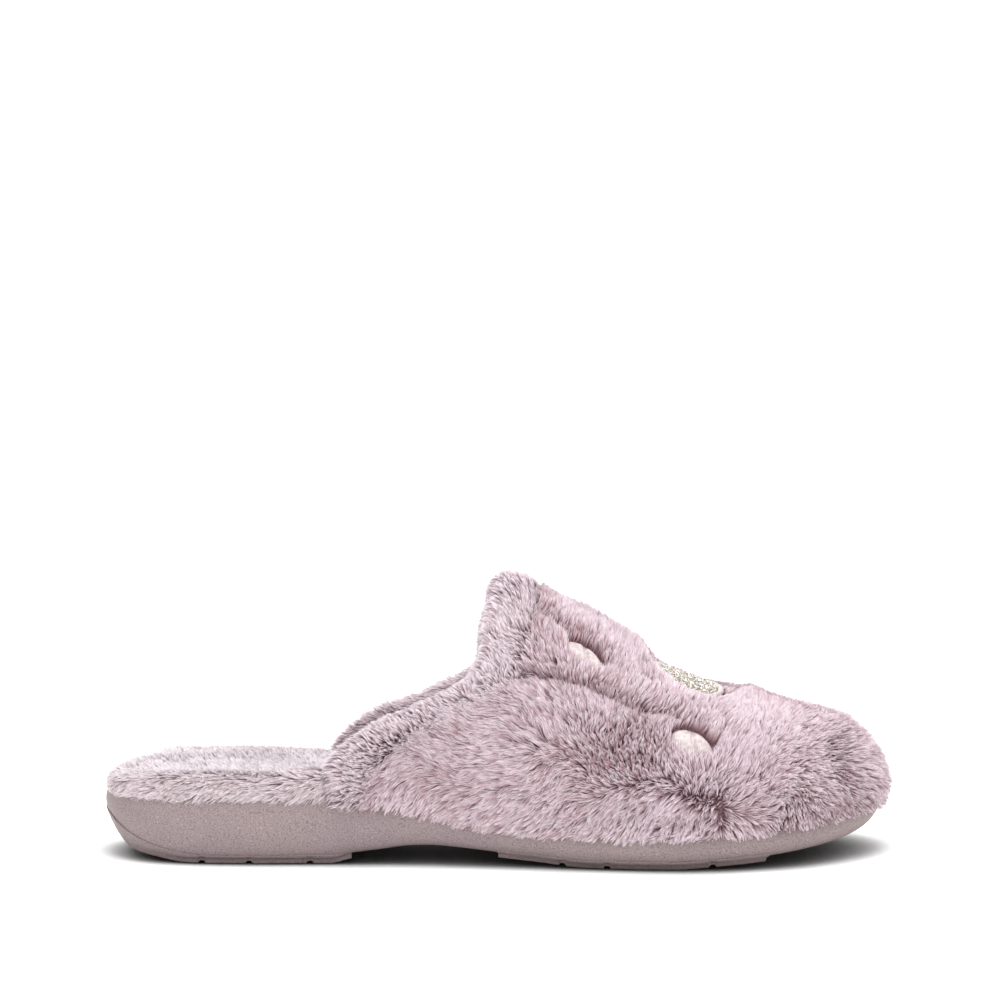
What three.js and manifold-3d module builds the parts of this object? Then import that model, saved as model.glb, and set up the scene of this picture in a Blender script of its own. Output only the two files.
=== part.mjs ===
// Plush mule slipper for the right foot: moulded wedge sole, foam footbed wrapped in plush, and a
// layered plush vamp with a rolled topline collar and an embroidered motif.
// Millimetres. +X points to the toe, +Y to the medial side, +Z up. The origin is under the middle
// of the overall box, on the floor.
import * as THREE from "three";
import { mergeVertices } from "three/addons/utils/BufferGeometryUtils.js";
import Module from "manifold-3d";

// ---- driving dimensions -------------------------------------------------------------------------
const CENTRE = [130.87, -0.61]; // middle of the overall box in the drafting frame (heel back at x = 0)
const RIM = 3.0; // width of the sole's raised rim
const CUP_DEPTH = 5.0; // depth of the cup the footbed sits in
const TREAD = 1.5; // thickness of the tread pads
const GAP = 0.3; // clearance between neighbouring pieces
const VAMP_INSET = 2.5; // backing cloth of the vamp stands this far inside the sole's edge
const PILE = 5.5; // backing cloth plus standing pile of the outer plush
const FAN_X = 222; // the toe cap closes towards a point on the ridge here
const BOARD = 1.8;
const SOCK = 4.2;

// The sole's plan outline, heel first, along the lateral side (-Y) to the toe and back.
const OUTLINE = [
  [0, 0], [3.5, -15.5], [13, -26.5], [28, -32], [48, -33.8], [70, -33.6], [92, -33.4], [114, -34.6],
  [136, -38], [158, -42.8], [180, -46.4], [200, -46.6], [218, -42.6], [234, -34.5], [247, -23],
  [256, -9.5], [259.5, 5], [257.5, 19], [250, 31], [237, 40], [219, 44.8], [200, 45.8], [180, 44],
  [158, 39.2], [136, 33], [114, 28.6], [92, 27.6], [70, 29], [48, 31], [28, 30.4], [13, 25.6],
  [3.5, 14.8],
];
// Heights along the length: top of the sole's side wall, underside of the sole body, ceiling line of
// the vamp, footbed top, and the sideways place of the vamp's ridge.
const Z_RIM = curve([[-2, 22], [20, 22.3], [40, 22.2], [60, 22.6], [80, 21.8], [95, 21.2], [104, 19.6], [113, 17.8], [123, 15.6], [136, 13.5], [152, 12.3], [168, 12], [182, 11.8], [198, 12.2], [217, 13.2], [228, 14], [240, 15], [251, 16.4], [262, 17.8]]);
const Z_UNDER = curve([[-2, 13.5], [1.7, 9.5], [4, 7], [9, 4.7], [17.5, 3.3], [28, 1.8], [75, 1.8], [82, 3.4], [91.7, 4.7], [101.8, 6.1], [108.5, 6.4], [118.6, 5.7], [132, 4.4], [145.6, 3.2], [156, 2.1], [162, 1.8], [190, 1.8], [203, 2.6], [219.7, 3.7], [226.5, 4.3], [233, 5], [243, 6.2], [250, 7.6], [256.8, 9.9], [261, 13]]);
const Z_CEIL = curve([[60, 72], [80, 80], [100, 86], [126, 90], [134, 89], [142, 86], [152, 79.5], [166, 72], [184, 60.8], [193, 57.2], [200, 54.6], [206, 52.2], [222, 46.4], [233, 43.6], [243, 41.5], [250, 40], [262, 37.6]]);
const Z_BED = curve([[-2, 27], [70, 27], [80, 26.4], [90, 25], [100, 23], [110, 20.6], [122, 18], [136, 15.8], [152, 14.6], [170, 14.2], [200, 14.2], [217, 15], [235, 16.2], [262, 18]]);
const Y_RIDGE = curve([[60, -2], [80, -1.5], [130, 0], [190, 4], [222, 5], [262, 5]]);
const POWER = curve([[60, 2.2], [140, 2.2], [222, 2.6], [262, 2.6]]);
// Topline and collar seam as (x, height) on the vamp's backing cloth, floor end first, ridge last.
const TOP_LAT = [[80, 22.3], [79, 30], [84, 38], [95, 45], [107, 50.5], [118, 55.5], [127, 62], [130.5, 72], [132, 81], [134, 89]];
const TOP_MED = [[80, 22.3], [79.5, 29], [85, 36], [96, 42], [108, 46.5], [119, 51.5], [127.5, 58], [131, 70], [132.5, 80], [134, 89]];
const SEAM_LAT = [[87, 21.9], [89, 30], [93.5, 35.5], [99.5, 40], [110, 45.5], [122, 51], [134, 56.5], [140.5, 64], [142.5, 74], [144, 85]];
const SEAM_MED = [[87, 21.9], [89.5, 29], [94, 33.5], [100, 37.5], [111, 42.2], [123, 47.5], [134.5, 53.5], [140.5, 62], [142.5, 73], [144, 85]];
const V_ROWS = 10;
const T = 64; // points round the sole's outline

// ---- curves -------------------------------------------------------------------------------------
// Monotone cubic through (x, y) pairs: no overshoot, and flat where neighbours are equal.
function curve(points) {
  const n = points.length, x = points.map((p) => p[0]), y = points.map((p) => p[1]);
  const d = [], m = new Array(n).fill(0);
  for (let i = 0; i < n - 1; i++) d.push((y[i + 1] - y[i]) / (x[i + 1] - x[i]));
  for (let i = 1; i < n - 1; i++)
    if (d[i - 1] * d[i] > 0) {
      const h0 = x[i] - x[i - 1], h1 = x[i + 1] - x[i];
      m[i] = (3 * (h0 + h1)) / ((2 * h1 + h0) / d[i - 1] + (h1 + 2 * h0) / d[i]);
    }
  m[0] = d[0];
  m[n - 1] = d[n - 2];
  return (t) => {
    if (t <= x[0]) return y[0];
    if (t >= x[n - 1]) return y[n - 1];
    let i = 0;
    while (t > x[i + 1]) i++;
    const h = x[i + 1] - x[i], s = (t - x[i]) / h;
    return (
      (1 + 2 * s) * (1 - s) ** 2 * y[i] + s * (1 - s) ** 2 * h * m[i] +
      s * s * (3 - 2 * s) * y[i + 1] + s * s * (s - 1) * h * m[i + 1]
    );
  };
}

// A point and the outward unit normal at t in [0, 1) round the outline, moved inwards by inset.
function outline(t, inset = 0) {
  const n = OUTLINE.length, f = (((t % 1) + 1) % 1) * n, i = Math.floor(f), s = f - i;
  const [a, b, c, d] = [-1, 0, 1, 2].map((k) => OUTLINE[(i + k + n) % n]);
  const at = [0, 1].map((k) => 0.5 * (2 * b[k] + (c[k] - a[k]) * s + (2 * a[k] - 5 * b[k] + 4 * c[k] - d[k]) * s * s + (3 * b[k] - a[k] - 3 * c[k] + d[k]) * s ** 3));
  const go = [0, 1].map((k) => 0.5 * (c[k] - a[k] + 2 * (2 * a[k] - 5 * b[k] + 4 * c[k] - d[k]) * s + 3 * (3 * b[k] - a[k] - 3 * c[k] + d[k]) * s * s));
  const l = Math.hypot(...go), nx = go[1] / l, ny = -go[0] / l;
  return { p: [at[0] - nx * inset, at[1] - ny * inset], n: [nx, ny] };
}
const TOE_T = 16 / OUTLINE.length;
// The outline's y at a given x on one side (side -1 lateral, +1 medial), with an inset.
function edgeY(x, side, inset) {
  let lo = 0.02, hi = TOE_T - 0.01;
  const t = (s) => (side < 0 ? s : 1 - s * ((1 - TOE_T) / TOE_T));
  for (let k = 0; k < 40; k++) {
    const mid = (lo + hi) / 2;
    if (outline(t(mid), inset).p[0] < x) lo = mid;
    else hi = mid;
  }
  return { y: outline(t(lo), inset).p[1], t: t(lo) };
}

// ---- meshes -------------------------------------------------------------------------------------
const wasm = await Module();
wasm.setup();
const root = new THREE.Group();
root.position.set(-CENTRE[0], -CENTRE[1], 0);

function geometry(v, f) {
  return new THREE.BufferGeometry()
    .setAttribute("position", new THREE.Float32BufferAttribute(v.flat(), 3))
    .setIndex(f.flat());
}
function solid(v, f) {
  const g = mergeVertices(geometry(v, f), 1e-4);
  const m = new wasm.Manifold(new wasm.Mesh({ numProp: 3, vertProperties: g.attributes.position.array, triVerts: new Uint32Array(g.index.array) }));
  if (m.volume() > 0) return m;
  const t = new Uint32Array(g.index.array);
  for (let i = 0; i < t.length; i += 3) [t[i + 1], t[i + 2]] = [t[i + 2], t[i + 1]];
  return new wasm.Manifold(new wasm.Mesh({ numProp: 3, vertProperties: g.attributes.position.array, triVerts: t }));
}
const MATERIALS = {
  sole: [0x9a8487, 0.7], tread: [0x8f797b, 0.75], board: [0xb79f7c, 0.9], foam: [0xe9e2d0, 0.95],
  plush: [0xc4acb3, 1], lining: [0xd8cdd2, 1], thread: [0xb99aa2, 0.7], puff: [0xe6e6e0, 0.6],
  backing: [0xf2f0ec, 0.9], satin: [0xf4eee9, 0.45], glitter: [0xc9bfae, 0.3],
};
function add(name, material, m) {
  const mesh = m.getMesh(), n = mesh.numProp, v = [];
  for (let i = 0; i < mesh.numVert; i++) v.push(mesh.vertProperties[i * n], mesh.vertProperties[i * n + 1], mesh.vertProperties[i * n + 2]);
  const g = new THREE.BufferGeometry()
    .setAttribute("position", new THREE.Float32BufferAttribute(v, 3))
    .setIndex(new THREE.BufferAttribute(new Uint32Array(mesh.triVerts), 1));
  g.computeVertexNormals();
  const [color, roughness] = MATERIALS[material];
  const made = new THREE.Mesh(g, new THREE.MeshStandardMaterial({ color, roughness, metalness: material === "glitter" ? 0.6 : 0 }));
  made.name = name;
  root.add(made);
}

// Rings of equal length joined into a tube; the first and last close on a fan or on each other.
function rings(list, closed = false) {
  const n = list[0].length, v = [], f = [];
  list.forEach((r) => v.push(...r));
  const last = closed ? list.length : list.length - 1;
  for (let i = 0; i < last; i++)
    for (let j = 0; j < n; j++) {
      const a = i * n + j, b = i * n + ((j + 1) % n), c = ((i + 1) % list.length) * n + ((j + 1) % n), d = ((i + 1) % list.length) * n + j;
      f.push([a, b, c], [a, c, d]);
    }
  return { v, f };
}
function middle(ring) {
  return [0, 1, 2].map((k) => ring.reduce((s, p) => s + p[k], 0) / ring.length);
}
// Rings joined into a solid. Ends close on a middle point, or straight across from side to side.
function lofted(list, across = false) {
  const n = list[0].length, { v, f } = rings(list), a = v.length;
  if (across) {
    const o = (list.length - 1) * n, h = n / 2;
    for (let j = 0; j < h; j++) {
      const q = [j, j + 1, n - j - 1, (n - j) % n];
      for (const t of [[q[0], q[2], q[1]], [q[0], q[3], q[2]]])
        if (new Set(t).size === 3) f.push(t, [t[0] + o, t[2] + o, t[1] + o]);
    }
    return solid(v, f);
  }
  v.push(middle(list[0]), middle(list[list.length - 1]));
  for (let j = 0; j < n; j++) {
    f.push([a, (j + 1) % n, j]);
    const o = (list.length - 1) * n;
    f.push([a + 1, o + j, o + ((j + 1) % n)]);
  }
  return solid(v, f);
}

// ---- sole, board, foam, sock --------------------------------------------------------------------
const plan = (inset, z) => Array.from({ length: T }, (_, j) => {
  const i = typeof inset === "function" ? inset(outline(j / T).p[0]) : inset;
  const { p } = outline(j / T, i);
  return [p[0], p[1], z(p[0], p[1])];
});
function plate(...list) {
  return lofted(list.map(([inset, z]) => plan(inset, z)), true);
}
const zRim = (x) => Z_RIM(x), zUnder = (x) => Z_UNDER(x);
const height = (s) => (x) => Z_UNDER(x) + (Z_RIM(x) - Z_UNDER(x)) * s;
const zCup = (x) => Math.max(Z_RIM(x) - CUP_DEPTH, Z_UNDER(x) + 3.2);
const solidSole = plate([6.5, zUnder], [3.2, height(0.05)], [1, height(0.19)], [-0.4, height(0.42)], [-0.7, height(0.66)], [-0.2, height(0.9)], [0.5, zRim]);
const cup = plate([RIM + 0.3, zCup], [RIM, (x) => Z_RIM(x) + 4]);
add("sole_unit", "sole", solidSole.subtract(cup));

// A tread pad as sections across the sole from x0 to x1, with shallow grooves across its underside.
function tread(x0, x1, count, grooves) {
  const xs = Array.from({ length: count + 1 }, (_, i) => x0 + ((x1 - x0) * i) / count)
    .filter((x) => grooves.every((g) => Math.abs(x - g) > 2.2))
    .concat(grooves.flatMap((g) => [g - 1.3, g - 0.8, g + 0.8, g + 1.3])).sort((a, b) => a - b);
  return lofted(xs.map((x) => {
    const cut = grooves.some((g) => Math.abs(x - g) < 1) ? 1.0 : 0;
    const top = Z_UNDER(x) - GAP, low = top - TREAD, rise = 0.034 * (Z_RIM(x) - Z_UNDER(x));
    const y = (side, inset) => edgeY(x, side, inset).y;
    return [
      [x, y(-1, 4.3), top + rise], [x, y(-1, 6.6), top], [x, 0, top], [x, y(1, 6.6), top], [x, y(1, 4.3), top + rise],
      [x, y(1, 4.5), low + rise + cut * 0.8 + 0.2], [x, y(1, 6.6), low + cut], [x, 0, low + cut], [x, y(-1, 6.6), low + cut], [x, y(-1, 4.5), low + rise + cut * 0.8 + 0.2],
    ];
  }));
}
add("heel_tread", "tread", tread(7.4, 82.5, 22, [32, 48.2, 68.7]));
add("forefoot_tread", "tread", tread(131.5, 221, 20, [153, 168, 203]));

const zBoard = (x) => zCup(x) + GAP;
add("insole_board", "board", plate([RIM + 0.9, zBoard], [RIM + 0.9, (x) => zBoard(x) + BOARD]));

const edgeTop = (x) => {
  const s = Math.min(Math.max((x - 64) / 8, 0), 1), w = s * s * (3 - 2 * s);
  return (Z_BED(x) - 0.4) * (1 - w) + (Z_RIM(x) - 0.4) * w;
};
const zFoam = (x) => zBoard(x) + BOARD + GAP + 0.1;
add("footbed_foam", "foam", plate([RIM + 0.9, zFoam], [RIM + 0.9, edgeTop], [10.4, edgeTop], [11.6, (x) => Z_BED(x)]));
const sockInset = curve([[-2, 0.9], [58, 0.9], [71, 11.2], [262, 11.2]]);
const sockZ = (by) => (x) => Z_BED(x) + GAP + by;
add("sock_lining", "lining", plate([11.6, sockZ(0)], [(x) => sockInset(x), sockZ(0)], [(x) => sockInset(x), sockZ(2.2)], [(x) => sockInset(x) + 2.4, sockZ(SOCK)]));

// Plush wrap round the footbed's edge at the heel, ending against the collar on each side.
function sweep(section, stations) {
  return lofted(stations.map(section));
}
function heelStations(xEnd, n) {
  const a = edgeY(xEnd, -1, 0).t, b = edgeY(xEnd, 1, 0).t - 1;
  return Array.from({ length: n + 1 }, (_, i) => a + ((b - a) * i) / n);
}
add("heel_edge_wrap", "plush", sweep((t) => {
  const at = (inset, z) => { const { p } = outline(t, inset); return [p[0], p[1], z(p[0])]; };
  return [at(3.4, (x) => Z_RIM(x) + GAP), at(0.2, (x) => Z_RIM(x) + GAP), at(-0.8, (x) => Z_RIM(x) + 1.6), at(-0.6, () => 25), at(0.6, () => 25.9), at(3.4, () => 25.9)];
}, heelStations(72.5, 30)));
// A round thread through stations of [centre, one unit axis across, the other].
function thread(stations, r, sides) {
  return lofted(stations.map(([c, u, w]) => Array.from({ length: sides }, (_, i) => {
    const t = (2 * Math.PI * i) / sides;
    return c.map((x, k) => x + r * (Math.cos(t) * u[k] + Math.sin(t) * w[k]));
  })));
}
add("wrap_seam_thread", "thread", thread(heelStations(56, 24).map((t) => {
  const { p, n } = outline(t, 2.2);
  return [[...p, 26.6], [...n, 0], [0, 0, 1]];
}), 0.35, 5));

// ---- vamp surface -------------------------------------------------------------------------------
// phi in [0, pi/2] climbs from the sole's edge to the ridge; x is the place along the length.
function onSection(x, side, phi, inset) {
  const p = POWER(x), g = Math.cos(phi) ** (2 / p), h = Math.sin(phi) ** (2 / p);
  const yr = Y_RIDGE(x), ye = edgeY(Math.min(x, 250), side, inset).y, base = Z_RIM(x) + 0.5;
  return [x, yr + (ye - yr) * g, base + (Z_CEIL(x) - base) * h];
}
// phi of a point given by its height.
function phiAt(x, z) {
  const base = Z_RIM(x) + 0.5, h = Math.min(Math.max((z - base) / (Z_CEIL(x) - base), 0), 1);
  return Math.asin(h ** (POWER(x) / 2));
}
function lineOnVamp(points) {
  const ps = points.map(([x, z], i) => [i === points.length - 1 ? Math.PI / 2 : phiAt(x, z), x]);
  ps[0][0] = 0;
  return curve(ps);
}
const lines = { "-1": [lineOnVamp(TOP_LAT), lineOnVamp(SEAM_LAT)], 1: [lineOnVamp(TOP_MED), lineOnVamp(SEAM_MED)] };
// Columns: shares between topline and seam, then shares from the seam to the toe cap's start.
const BAND = [0, 0.34, 0.67, 1];
const BODY = [0.024, 0.14, 0.27, 0.4, 0.53, 0.66, 0.78, 0.9, 1];
const COLS = BAND.length + BODY.length, FAN = 10, NU = 2 * COLS + FAN - 1;
function grid() {
  const v = [], id = [];
  const phis = Array.from({ length: V_ROWS + 1 }, (_, k) => (k / V_ROWS) * (Math.PI / 2));
  const column = (i, side, phi) => {
    const [top, seam] = lines[side].map((f) => f(phi));
    return i < BAND.length ? top + (seam - top) * BAND[i] : seam + (FAN_X - seam) * BODY[i - BAND.length];
  };
  const tl = edgeY(FAN_X, -1, VAMP_INSET).t, tm = edgeY(FAN_X, 1, VAMP_INSET).t;
  for (let u = 0; u < NU; u++) {
    id.push([]);
    for (let k = 0; k <= V_ROWS; k++) {
      const phi = phis[k], ridge = k === V_ROWS;
      let p;
      if (u < COLS) p = onSection(column(u, -1, phi), -1, phi, VAMP_INSET);
      else if (u >= NU - COLS) {
        if (ridge) { id[u].push(id[NU - 1 - u][k]); continue; }
        p = onSection(column(NU - 1 - u, 1, phi), 1, phi, VAMP_INSET);
      } else {
        if (ridge) { id[u].push(id[COLS - 1][k]); continue; }
        const t = tl + ((tm - tl) * (u - COLS + 1)) / FAN, f = outline(t, VAMP_INSET).p;
        const g = Math.cos(phi) ** (2 / 2.6), h = Math.sin(phi) ** (2 / 2.6), yc = Y_RIDGE(FAN_X);
        const x = FAN_X + (f[0] - FAN_X) * g, base = Z_RIM(f[0]) + 0.5;
        p = [x, yc + (f[1] - yc) * g, base + (Z_CEIL(x) - base) * h];
      }
      id[u].push(v.length);
      v.push(p);
    }
  }
  return { v, id };
}
const G = grid();
const CELLS = [];
for (let u = 0; u < NU - 1; u++)
  for (let k = 0; k < V_ROWS; k++) {
    const c = [G.id[u][k], G.id[u + 1][k], G.id[u + 1][k + 1], G.id[u][k + 1]];
    CELLS.push({ u, k, q: c.filter((p, i) => c.indexOf(p) === i) });
  }
const trisOf = (q) => (q.length === 4 ? [[q[0], q[1], q[2]], [q[0], q[2], q[3]]] : [q]);
const NORMALS = (() => {
  const g = geometry(G.v, CELLS.flatMap((c) => trisOf(c.q)));
  g.computeVertexNormals();
  const a = g.attributes.normal, out = G.v.map((_, i) => [a.getX(i), a.getY(i), a.getZ(i)]);
  const probe = G.id[COLS + 6][6];
  const s = out[probe][2] < 0 ? -1 : 1;
  // At the sole's edge the cloth leaves straight up, so its normal is level there.
  for (let u = 0; u < NU; u++) out[G.id[u][0]][2] = 0;
  return out.map((n) => { const l = Math.hypot(...n) * s; return n.map((c) => c / l); });
})();
const off = (i, d) => G.v[i].map((c, k) => c + NORMALS[i][k] * d);
// A closed layer over the chosen cells of the vamp, between two distances from the backing cloth.
function layerOf(pick, d0, d1) {
  const tri = CELLS.filter(pick).flatMap((c) => trisOf(c.q)), used = [...new Set(tri.flat())], at = new Map(used.map((p, i) => [p, i]));
  const v = [...used.map((p) => off(p, d1)), ...used.map((p) => off(p, d0))], n = used.length, f = [], edges = new Map();
  for (const t of tri) {
    const [a, b, c] = t.map((p) => at.get(p));
    f.push([a, b, c], [n + a, n + c, n + b]);
    for (const [p, q] of [[a, b], [b, c], [c, a]]) edges.set(p + "_" + q, [p, q]);
  }
  for (const [p, q] of edges.values()) if (!edges.has(q + "_" + p)) f.push([p, n + p, n + q], [p, n + q, q]);
  return solid(v, f);
}
const col = (c) => Math.min(c.u, NU - 2 - c.u); // cell column counted from either topline end
const inFan = (c) => c.u >= COLS - 1 && c.u < NU - COLS;

// ---- motif --------------------------------------------------------------------------------------
// A plan shape laid on the vamp round (x, phi): a runs towards the toe, b up towards the ridge.
// Arc length per unit of phi is taken over a reach of step either way.
function patch(x, side, phi, shape, d0, d1, turn = 0, step = 0.02) {
  const P = (xx, ph) => {
    let s = side, q = ph;
    if (q > Math.PI / 2) { q = Math.PI - q; s = -s; }
    return onSection(xx, s, q, VAMP_INSET);
  };
  const l = Math.hypot(...P(x, phi + step).map((c, k) => c - P(x, phi - step)[k])) / (2 * step);
  const lx = Math.hypot(...P(x + 1, phi).map((c, k) => c - P(x - 1, phi)[k])) / 2;
  const place = (a, b, d) => {
    const ca = Math.cos(turn), sa = Math.sin(turn), aa = a * ca - b * sa, bb = a * sa + b * ca;
    const px = x + aa / lx, ph = phi + bb / l, p = P(px, ph);
    const du = P(px + 0.5, ph).map((c, k) => c - P(px - 0.5, ph)[k]), dv = P(px, ph + 0.01).map((c, k) => c - P(px, ph - 0.01)[k]);
    let n = [du[1] * dv[2] - du[2] * dv[1], du[2] * dv[0] - du[0] * dv[2], du[0] * dv[1] - du[1] * dv[0]];
    const m = Math.hypot(...n) * (n[2] < 0 ? -1 : 1);
    n = n.map((c) => c / m);
    return p.map((c, k) => c + n[k] * d);
  };
  const ring = (s, d) => shape.map(([a, b]) => place(a * s, b * s, d));
  const scales = [1, 0.66, 0.33];
  return lofted([...scales.slice(1).reverse().map((s) => ring(s, d0)), ring(1, d0), ring(1, d1), ...scales.slice(1).map((s) => ring(s, d1))]);
}
const oval = (a, b, n = 24, p = 2) => Array.from({ length: n }, (_, i) => {
  const t = (2 * Math.PI * i) / n, c = Math.cos(t), s = Math.sin(t);
  return [a * Math.sign(c) * Math.abs(c) ** (2 / p), b * Math.sign(s) * Math.abs(s) ** (2 / p)];
});
const leaf = (a, b, n = 16) => Array.from({ length: n }, (_, i) => {
  const t = (2 * Math.PI * i) / n;
  return [a * Math.cos(t), b * Math.sin(t) * (1 - 0.22 * Math.cos(t) ** 2)];
});
const HALF = Math.PI / 2;
const centreShape = oval(10.3, 20, 28, 1.8), REACH = 0.3;
const LEAVES = [
  ["satin_leaf_rear_lateral", 160, -1, 1.03, -0.5], ["satin_leaf_front_lateral", 196, -1, 0.6, -0.45],
  ["satin_leaf_rear_medial", 160, 1, 1.03, 0.5], ["satin_leaf_front_medial", 196, 1, 0.6, 0.45],
];
const DOTS = [["glitter_dot_lateral", 179.5, -1, 1.02], ["glitter_dot_medial", 179.5, 1, 1.02]];
const leafShape = leaf(7.6, 5.8), dotShape = oval(2.4, 2.4, 12);
const grow = (shape, by) => shape.map(([a, b]) => { const l = Math.hypot(a, b); return [a * (1 + by / l), b * (1 + by / l)]; });

let vamp = layerOf((c) => col(c) >= BAND.length, 0, PILE);
vamp = vamp.subtract(patch(195, -1, HALF, grow(centreShape, 2.9), 1.0, 12, 0, REACH));
for (const [, x, side, phi, turn] of LEAVES) vamp = vamp.subtract(patch(x, side, phi, grow(leafShape, 0.7), 1.0, 12, turn));
for (const [, x, side, phi] of DOTS) vamp = vamp.subtract(patch(x, side, phi, grow(dotShape, 0.6), 1.0, 12));
add("vamp_plush", "plush", vamp);
add("glitter_applique", "glitter", patch(195, -1, HALF, centreShape, 1.35, 2.3, 0, REACH));
add("applique_satin_border", "satin", patch(195, -1, HALF, grow(centreShape, 2.3), 1.35, 3.0, 0, REACH).subtract(patch(195, -1, HALF, grow(centreShape, 0.35), 0.4, 6, 0, REACH)));
for (const [name, x, side, phi, turn] of LEAVES) add(name, "satin", patch(x, side, phi, leafShape, 1.35, 2.9, turn));
for (const [name, x, side, phi] of DOTS) add(name, "glitter", patch(x, side, phi, dotShape, 1.35, 2.8));

// ---- vamp layers behind the plush ---------------------------------------------------------------
add("embroidery_backing", "backing", layerOf((c) => !inFan(c) && col(c) >= 5 && col(c) <= 9 && c.k >= 3, -0.9, -0.3));
add("toe_puff", "puff", layerOf((c) => inFan(c) || col(c) >= 11, -1.5, -0.3));
add("vamp_foam", "foam", layerOf((c) => !inFan(c) && col(c) >= 1 && col(c) <= 9, -3.4, -1.2));
add("topline_tape", "backing", layerOf((c) => col(c) >= 1 && col(c) < 2 && !inFan(c), -4.3, -3.7));
add("vamp_lining", "lining", layerOf((c) => col(c) >= BAND.length - 1 || inFan(c), -6.7, -3.7));

// Rolled plush collar: one strip folded over the topline, with an outer and an inner leg.
const around = [...Array(V_ROWS + 1).keys()].map((k) => [0, k]).concat([...Array(V_ROWS).keys()].reverse().map((k) => [1, k]));
add("collar_roll", "plush", lofted(around.map(([far, k]) => {
  const at = (c) => G.id[far ? NU - 1 - c : c][k], p0 = G.v[at(0)], p1 = G.v[at(1)], n0 = NORMALS[at(0)];
  const a = p1.map((c, i) => c - p0[i]), l = Math.hypot(...a), ahead = a.map((c) => c / l);
  const edge = (s, d) => p0.map((c, i) => c + ahead[i] * s + n0[i] * d);
  return [
    off(at(3), 0), off(at(3), 4.6), off(at(2), 5.5), off(at(1), 5.8), edge(0, 5.6), edge(-2.6, 3.8), edge(-3.9, 0), edge(-3.9, -3), edge(-2.4, -6),
    edge(0, -7), off(at(1), -7), off(at(2), -7), off(at(2), -4.6), off(at(1), -4.6), edge(0.3, -4.6), edge(0.3, 0), off(at(1), 0), off(at(2), 0),
  ];
})));
add("collar_seam_thread", "thread", thread(around.map(([far, k]) => {
  const i = G.id[far ? NU - 1 - 3 : 3][k], j = G.id[far ? NU - 1 - 4 : 4][k];
  const a = off(i, 1.4), b = off(j, 1.4), u = b.map((c, m) => c - a[m]), l = Math.hypot(...u);
  return [a.map((c, m) => (c + b[m]) / 2), u.map((c) => c / l), NORMALS[i]];
}), 0.25, 5));

export default root;
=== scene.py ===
import math
import bpy
import numpy as np
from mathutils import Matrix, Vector
from mathutils.kdtree import KDTree


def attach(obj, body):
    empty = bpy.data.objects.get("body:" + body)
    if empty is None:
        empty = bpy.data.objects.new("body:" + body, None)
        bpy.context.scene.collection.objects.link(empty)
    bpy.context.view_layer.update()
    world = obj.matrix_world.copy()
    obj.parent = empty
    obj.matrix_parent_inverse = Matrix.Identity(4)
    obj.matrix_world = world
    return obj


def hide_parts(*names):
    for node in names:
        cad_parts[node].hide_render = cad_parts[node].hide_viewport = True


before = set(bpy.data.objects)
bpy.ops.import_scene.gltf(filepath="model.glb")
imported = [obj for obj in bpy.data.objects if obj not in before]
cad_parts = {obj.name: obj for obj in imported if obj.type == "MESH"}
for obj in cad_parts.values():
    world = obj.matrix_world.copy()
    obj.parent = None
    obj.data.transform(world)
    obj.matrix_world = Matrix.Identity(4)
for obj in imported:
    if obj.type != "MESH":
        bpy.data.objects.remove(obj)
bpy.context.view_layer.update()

THIN = 1.0

# ---- the slipper's own curves, in millimetres with the heel's back at x = 0 -----------------------
CENTRE = (130.87, -0.61)
VAMP_INSET, FAN_X = 2.5, 222.0
GAP = 0.3
OUTLINE = np.array([
    [0, 0], [3.5, -15.5], [13, -26.5], [28, -32], [48, -33.8], [70, -33.6], [92, -33.4], [114, -34.6],
    [136, -38], [158, -42.8], [180, -46.4], [200, -46.6], [218, -42.6], [234, -34.5], [247, -23],
    [256, -9.5], [259.5, 5], [257.5, 19], [250, 31], [237, 40], [219, 44.8], [200, 45.8], [180, 44],
    [158, 39.2], [136, 33], [114, 28.6], [92, 27.6], [70, 29], [48, 31], [28, 30.4], [13, 25.6],
    [3.5, 14.8]], float)


def mono(points):
    x, y = np.array([p[0] for p in points], float), np.array([p[1] for p in points], float)
    h = np.diff(x)
    d = np.diff(y) / h
    m = np.zeros(len(x))
    for i in range(1, len(x) - 1):
        if d[i - 1] * d[i] > 0:
            m[i] = 3 * (h[i - 1] + h[i]) / ((2 * h[i] + h[i - 1]) / d[i - 1] + (h[i] + 2 * h[i - 1]) / d[i])
    m[0], m[-1] = d[0], d[-1]

    def f(t):
        t = np.clip(np.asarray(t, float), x[0], x[-1])
        i = np.clip(np.searchsorted(x, t, side="right") - 1, 0, len(x) - 2)
        s = (t - x[i]) / h[i]
        return ((1 + 2 * s) * (1 - s) ** 2 * y[i] + s * (1 - s) ** 2 * h[i] * m[i]
                + s * s * (3 - 2 * s) * y[i + 1] + s * s * (s - 1) * h[i] * m[i + 1])
    return f


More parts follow.
